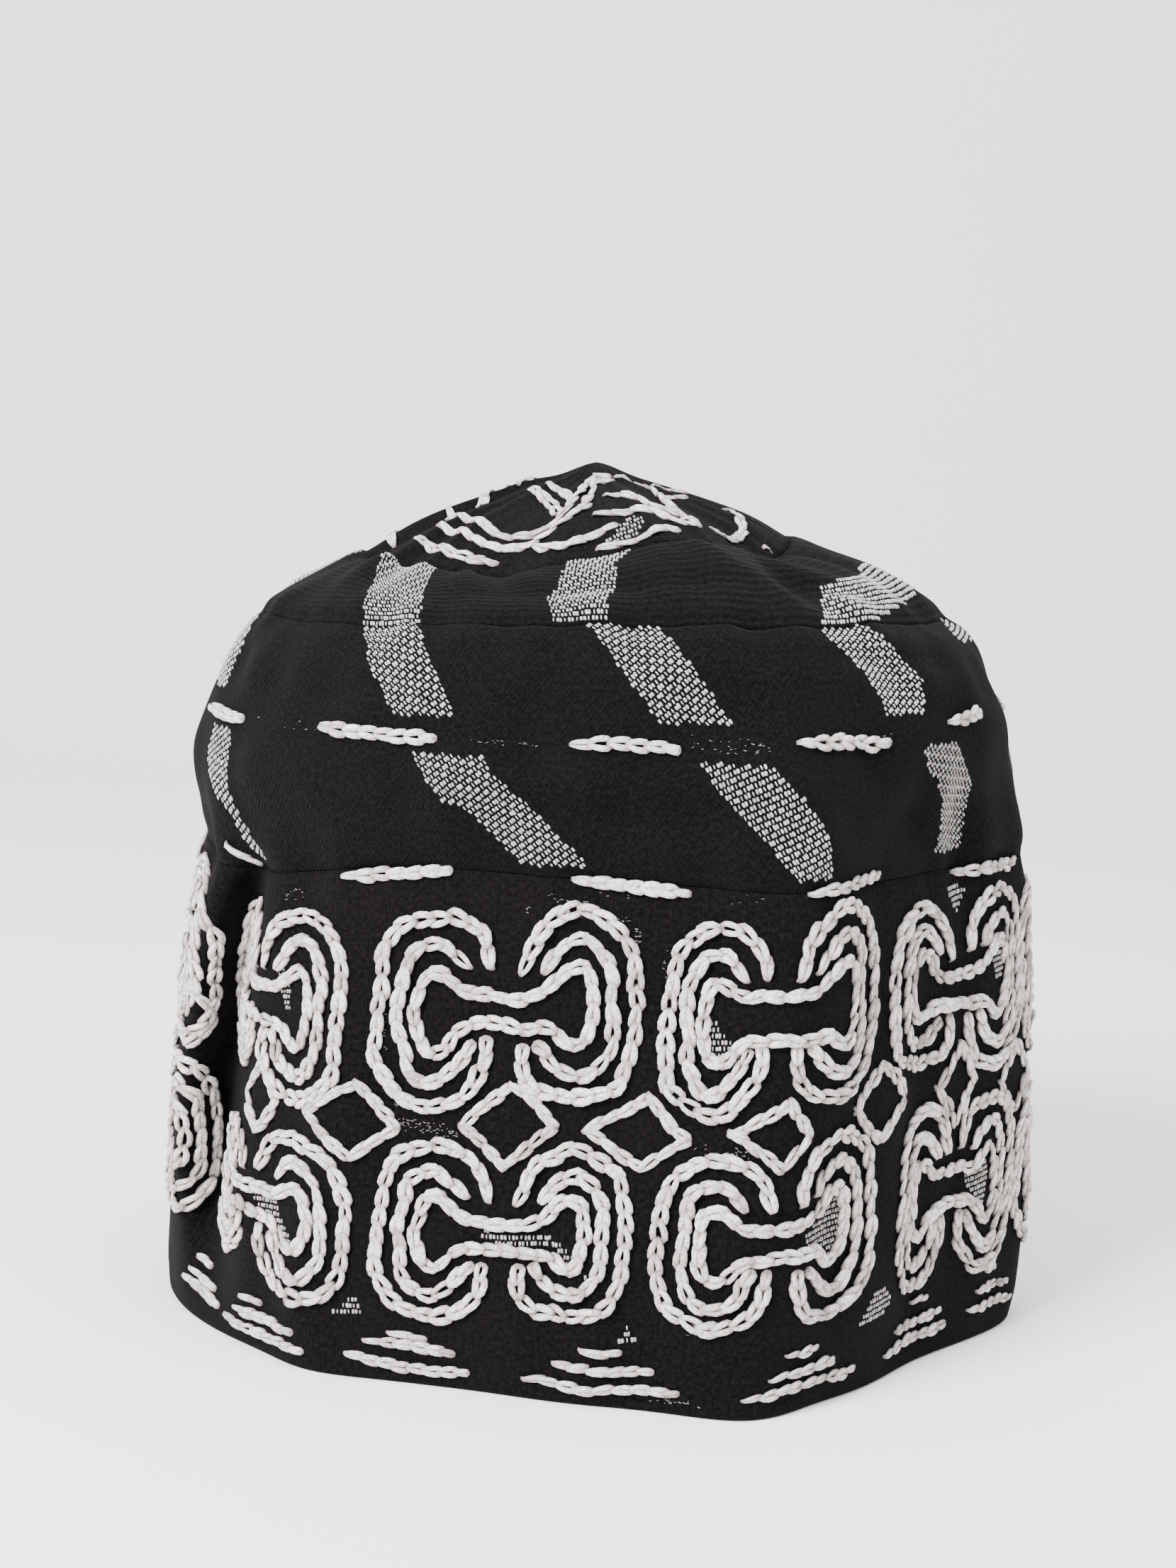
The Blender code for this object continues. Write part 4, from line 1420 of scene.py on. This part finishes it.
# Undyed patches of check that show inside the scrolls and near the rim: the left and right edge of each.
PATCHES = {
    "lower left neck": (
        ((-78.4, 34.6), (-73.4, 30.0), (-68.4, 27.4), (-66.0, 24.4)),
        ((-69.4, 34.6), (-67.4, 30.6), (-64.6, 28.0), (-63.0, 24.4)),
    ),
    "lower second neck": (((-23.8, 34.0), (-23.4, 31.6)), ((-9.2, 34.8), (-9.2, 31.6))),
    "lower second flare": (
        ((-10.4, 33.6), (-7.0, 29.8), (-4.4, 26.8)), ((-7.6, 33.6), (-3.8, 29.4), (-1.6, 26.8)),
    ),
    "lower third flare": (
        ((51.4, 45.4), (49.4, 40.4), (42.8, 37.6), (44.0, 34.4), (50.4, 33.6), (51.8, 30.0)),
        ((53.0, 45.4), (54.8, 40.4), (55.2, 37.6), (55.4, 34.4), (54.8, 33.6), (53.6, 30.0)),
    ),
    "lower fourth flare": (
        ((106.6, 42.4), (101.0, 38.4), (104.8, 34.4), (107.4, 31.0)),
        ((109.0, 42.4), (110.6, 38.4), (110.4, 34.4), (109.2, 31.0)),
    ),
    "upper left flare": (
        ((-72.4, 85.6), (-71.8, 80.0), (-70.0, 75.0)), ((-71.0, 85.6), (-68.6, 80.0), (-68.6, 75.0)),
    ),
    "upper third flare": (
        ((19.6, 80.4), (19.4, 76.8), (20.4, 73.2), (22.0, 71.2)),
        ((20.6, 80.4), (23.4, 76.8), (26.0, 73.2), (24.4, 71.2)),
    ),
    "upper fourth flare": (
        ((108.2, 89.0), (108.2, 85.8), (109.6, 81.0)), ((111.0, 89.0), (113.0, 85.8), (113.2, 81.0)),
    ),
    "rim left": (((-50.2, 17.0), (-54.4, 12.8)), ((-49.2, 17.0), (-46.4, 12.8))),
    "rim middle": (((6.6, 17.2), (5.0, 14.2)), ((7.4, 17.2), (9.0, 14.2))),
    "rim right": (((67.6, 21.0), (65.0, 18.0), (62.0, 14.6)), ((70.4, 21.0), (75.0, 18.0), (70.6, 14.6))),
    "right tier top": (
        ((92.0, 159.3), (90.4, 154.6), (96.0, 152.8)), ((99.0, 159.3), (106.0, 154.6), (107.0, 152.8)),
    ),
    "above fourth": (((90.8, 101.8), (94.8, 96.6)), ((100.4, 101.8), (95.6, 96.6))),
}
PATCH_GRAIN = 5
PATCH_BRIGHTNESS = 0.8
# On the round top, as plan places from the peak.
TOP_PATCHES = {
    "front": (
        ((7.5, -32.5), (5.6, -35.0), (4.6, -37.5), (2.0, -40.2)),
        ((10.6, -32.5), (10.6, -35.0), (9.8, -37.5), (8.0, -40.2)),
    ),
    "back": (((-12.0, 36.0), (-10.0, 31.0), (-8.0, 27.0)), ((-6.0, 36.0), (-5.0, 31.0), (-5.5, 27.0))),
}
TOP_PATCH_GRAIN = 25
TOP_PATCH_BRIGHTNESS = 0.7

# Loose white threads: the place and the size of the area over which each row's count is scattered.
SPECK_COLUMNS = ("across", "up", "width", "height", "count")
SPECKS = (
    (24.0, 134.2, 16.0, 3.6, 30), (-73.0, 134.6, 20.0, 2.0, 6), (-20.0, 133.6, 18.0, 1.0, 16),
    (-8.4, 101.0, 7.0, 0.7, 26), (0.6, 98.4, 5.0, 0.9, 16), (4.8, 94.0, 1.0, 6.0, 16),
    (-35.8, 53.6, 13.0, 2.8, 60), (-16.6, 98.8, 2.0, 1.2, 4), (-12.0, 101.8, 3.0, 1.0, 3),
    (-38.0, 57.6, 10.0, 1.2, 16), (24.0, 54.6, 12.0, 2.0, 20), (4.4, 87.0, 2.0, 9.0, 18),
    (10.6, 90.0, 1.6, 6.0, 8), (-45.6, 70.0, 1.6, 16.0, 12), (16.0, 3.0, 16.0, 1.2, 20),
    (21.0, 18.0, 4.0, 2.6, 14), (-69.0, 100.6, 4.0, 3.0, 12), (60.0, 134.6, 6.0, 2.0, 4),
    (0.0, 103.6, 9.0, 2.0, 5), (-70.6, 62.0, 3.0, 8.0, 8), (26.0, 104.0, 6.0, 2.6, 5),
    (-35.6, 57.8, 11.0, 0.9, 26), (-4.0, 98.6, 10.0, 0.8, 16), (5.4, 79.0, 0.9, 9.0, 14),
)
SPECK_SIZES = ((0.10, 0.05), (0.40, 0.12))
SPECK_TURN = 0.3
SPECK_TONES = (0.0, 0.45)

# The tiers of check: the stripes in front, the hidden ones, the edges and the grain of those, and a
# brightness for the whole tier.
TIERS = (
    ("check_lower", LOWER_STRIPES, HIDDEN_LOWER_STRIPES, HIDDEN_LOWER_EDGES, 36, 0.85),
    ("check_upper", UPPER_STRIPES, HIDDEN_UPPER_STRIPES, HIDDEN_UPPER_EDGES, 40, 1.0),
    ("check_shoulder", SHOULDER_STRIPES, HIDDEN_SHOULDER_STRIPES, HIDDEN_SHOULDER_EDGES, 0, 1.0),
)


def shifted(edge, bearing, offset):
    """An edge moved to stand over its bearing at every height."""
    edge = np.array(edge, float)
    edge[:, 0] += anchor(bearing, edge[:, 1]) + offset
    return edge


def make_check(material):
    for name, stripes, hidden, hidden_edges, hidden_grain, brightness in TIERS:
        check = Check(name, brightness)
        for grain, left, right in stripes:
            check.region(left, right, grain)
        for bearing, offset in hidden:
            left, right = (shifted(edge, bearing, offset) for edge in hidden_edges)
            check.region(left, right, hidden_grain)
        check.piece(material)
    check = Check("check_band", PATCH_BRIGHTNESS)
    for left, right in PATCHES.values():
        check.region(left, right, PATCH_GRAIN)
    for speck in each(SPECK_COLUMNS, SPECKS):
        check.specks(**speck)
    check.piece(material)
    check = Check("check_top", TOP_PATCH_BRIGHTNESS, CLOTH.on_top)
    for left, right in TOP_PATCHES.values():
        check.region(left, right, TOP_PATCH_GRAIN)
    check.piece(material)


# Floor, lights and camera
CAMERA_AT = (-6.86, -561.88, 187.28)
CAMERA_PITCH = 7.2
CAMERA_ROLL = 3.2
LENS_MM = 58.59
BACKDROP_GREY = (0.80, 0.785, 0.77)
BACKDROP_HALF_WIDTH = 4.0
BACKDROP_FRONT = -4.0
BACKDROP_BACK = 1.6
BACKDROP_BEND = 0.8
BACKDROP_TOP = 3.6
WORLD_COLOUR = (0.88, 0.87, 0.86, 1.0)
WORLD_STRENGTH = 1.1
LIGHTS_AIM = (0.0, 0.0, 0.09)
LIGHT_COLUMNS = ("name", "place", "size", "watts", "colour")
LIGHTS = (
    ("window", (-0.95, -1.1, 1.05), 0.8, 118.0, (1.0, 0.985, 0.965)),
    ("ceiling", (0.2, -0.2, 1.6), 1.6, 36.0, (1.0, 0.99, 0.975)),
    ("right fill", (1.2, -0.8, 0.6), 1.2, 14.0, (0.98, 0.99, 1.0)),
)


def backdrop_profile():
    """A floor that bends up into a wall, as points of depth and height."""
    bend_start = BACKDROP_BACK - BACKDROP_BEND
    profile = [(BACKDROP_FRONT, 0.0), (bend_start, 0.0)]
    for degrees in range(5, 91, 5):
        turn = math.radians(degrees)
        rise = BACKDROP_BEND * (1.0 - math.cos(turn))
        profile.append((bend_start + BACKDROP_BEND * math.sin(turn), rise))
    profile.append((BACKDROP_BACK, BACKDROP_TOP))
    return profile


def make_backdrop():
    recipe = Recipe("pale_backdrop")
    place = recipe.add("TexCoord").outputs["Object"]
    darker = tuple(0.98 * value for value in BACKDROP_GREY)
    tint = recipe.mix(recipe.noise(place, 6.0), BACKDROP_GREY, darker)
    material = recipe.finish(Base_Color=tint, Roughness=0.85, Specular_IOR_Level=0.2)
    points = []
    for depth, height in backdrop_profile():
        points.append((-BACKDROP_HALF_WIDTH / MM, depth / MM, height / MM))
        points.append((BACKDROP_HALF_WIDTH / MM, depth / MM, height / MM))
    faces = [(row, row + 1, row + 3, row + 2) for row in range(0, len(points) - 2, 2)]
    return mesh_object("backdrop", np.array(points), faces, material)


def make_stage():
    make_backdrop()
    world = bpy.data.worlds.new("studio")
    world.use_nodes = True
    background = world.node_tree.nodes["Background"]
    background.inputs["Color"].default_value = WORLD_COLOUR
    background.inputs["Strength"].default_value = WORLD_STRENGTH
    bpy.context.scene.world = world
    for light in each(LIGHT_COLUMNS, LIGHTS):
        lamp = bpy.data.lights.new(light["name"], "AREA")
        lamp.shape = "DISK"
        lamp.size = light["size"]
        lamp.energy = light["watts"]
        lamp.color = light["colour"]
        holder = bpy.data.objects.new(light["name"], lamp)
        holder.location = light["place"]
        aim = Vector(LIGHTS_AIM) - holder.location
        holder.rotation_euler = aim.to_track_quat("-Z", "Y").to_euler()
        bpy.context.scene.collection.objects.link(holder)


def make_camera():
    camera = bpy.data.cameras.new("camera")
    camera.lens = LENS_MM
    camera.sensor_width = 36.0
    camera.clip_start = 0.02
    camera.clip_end = 50.0
    holder = bpy.data.objects.new("camera", camera)
    place = Matrix.Translation(about_middle(np.array(CAMERA_AT)) * MM)
    pitch = Matrix.Rotation(math.radians(90.0 - CAMERA_PITCH), 4, "X")
    roll = Matrix.Rotation(math.radians(CAMERA_ROLL), 4, "Z")
    holder.matrix_world = place @ pitch @ roll
    bpy.context.scene.collection.objects.link(holder)
    bpy.context.scene.camera = holder


def main():
    make_camera()
    make_stage()
    make_walls()
    yarn = yarn_material("white_yarn", YARN_WHITE, YARN_SHADOW)
    weft = yarn_material("check_yarn", WEFT_WHITE, WEFT_SHADOW)
    make_scrolls(yarn)
    make_diamonds(yarn)
    make_stacks(yarn)
    make_dashes(yarn)
    make_top_embroidery(yarn)
    make_check(weft)


main()
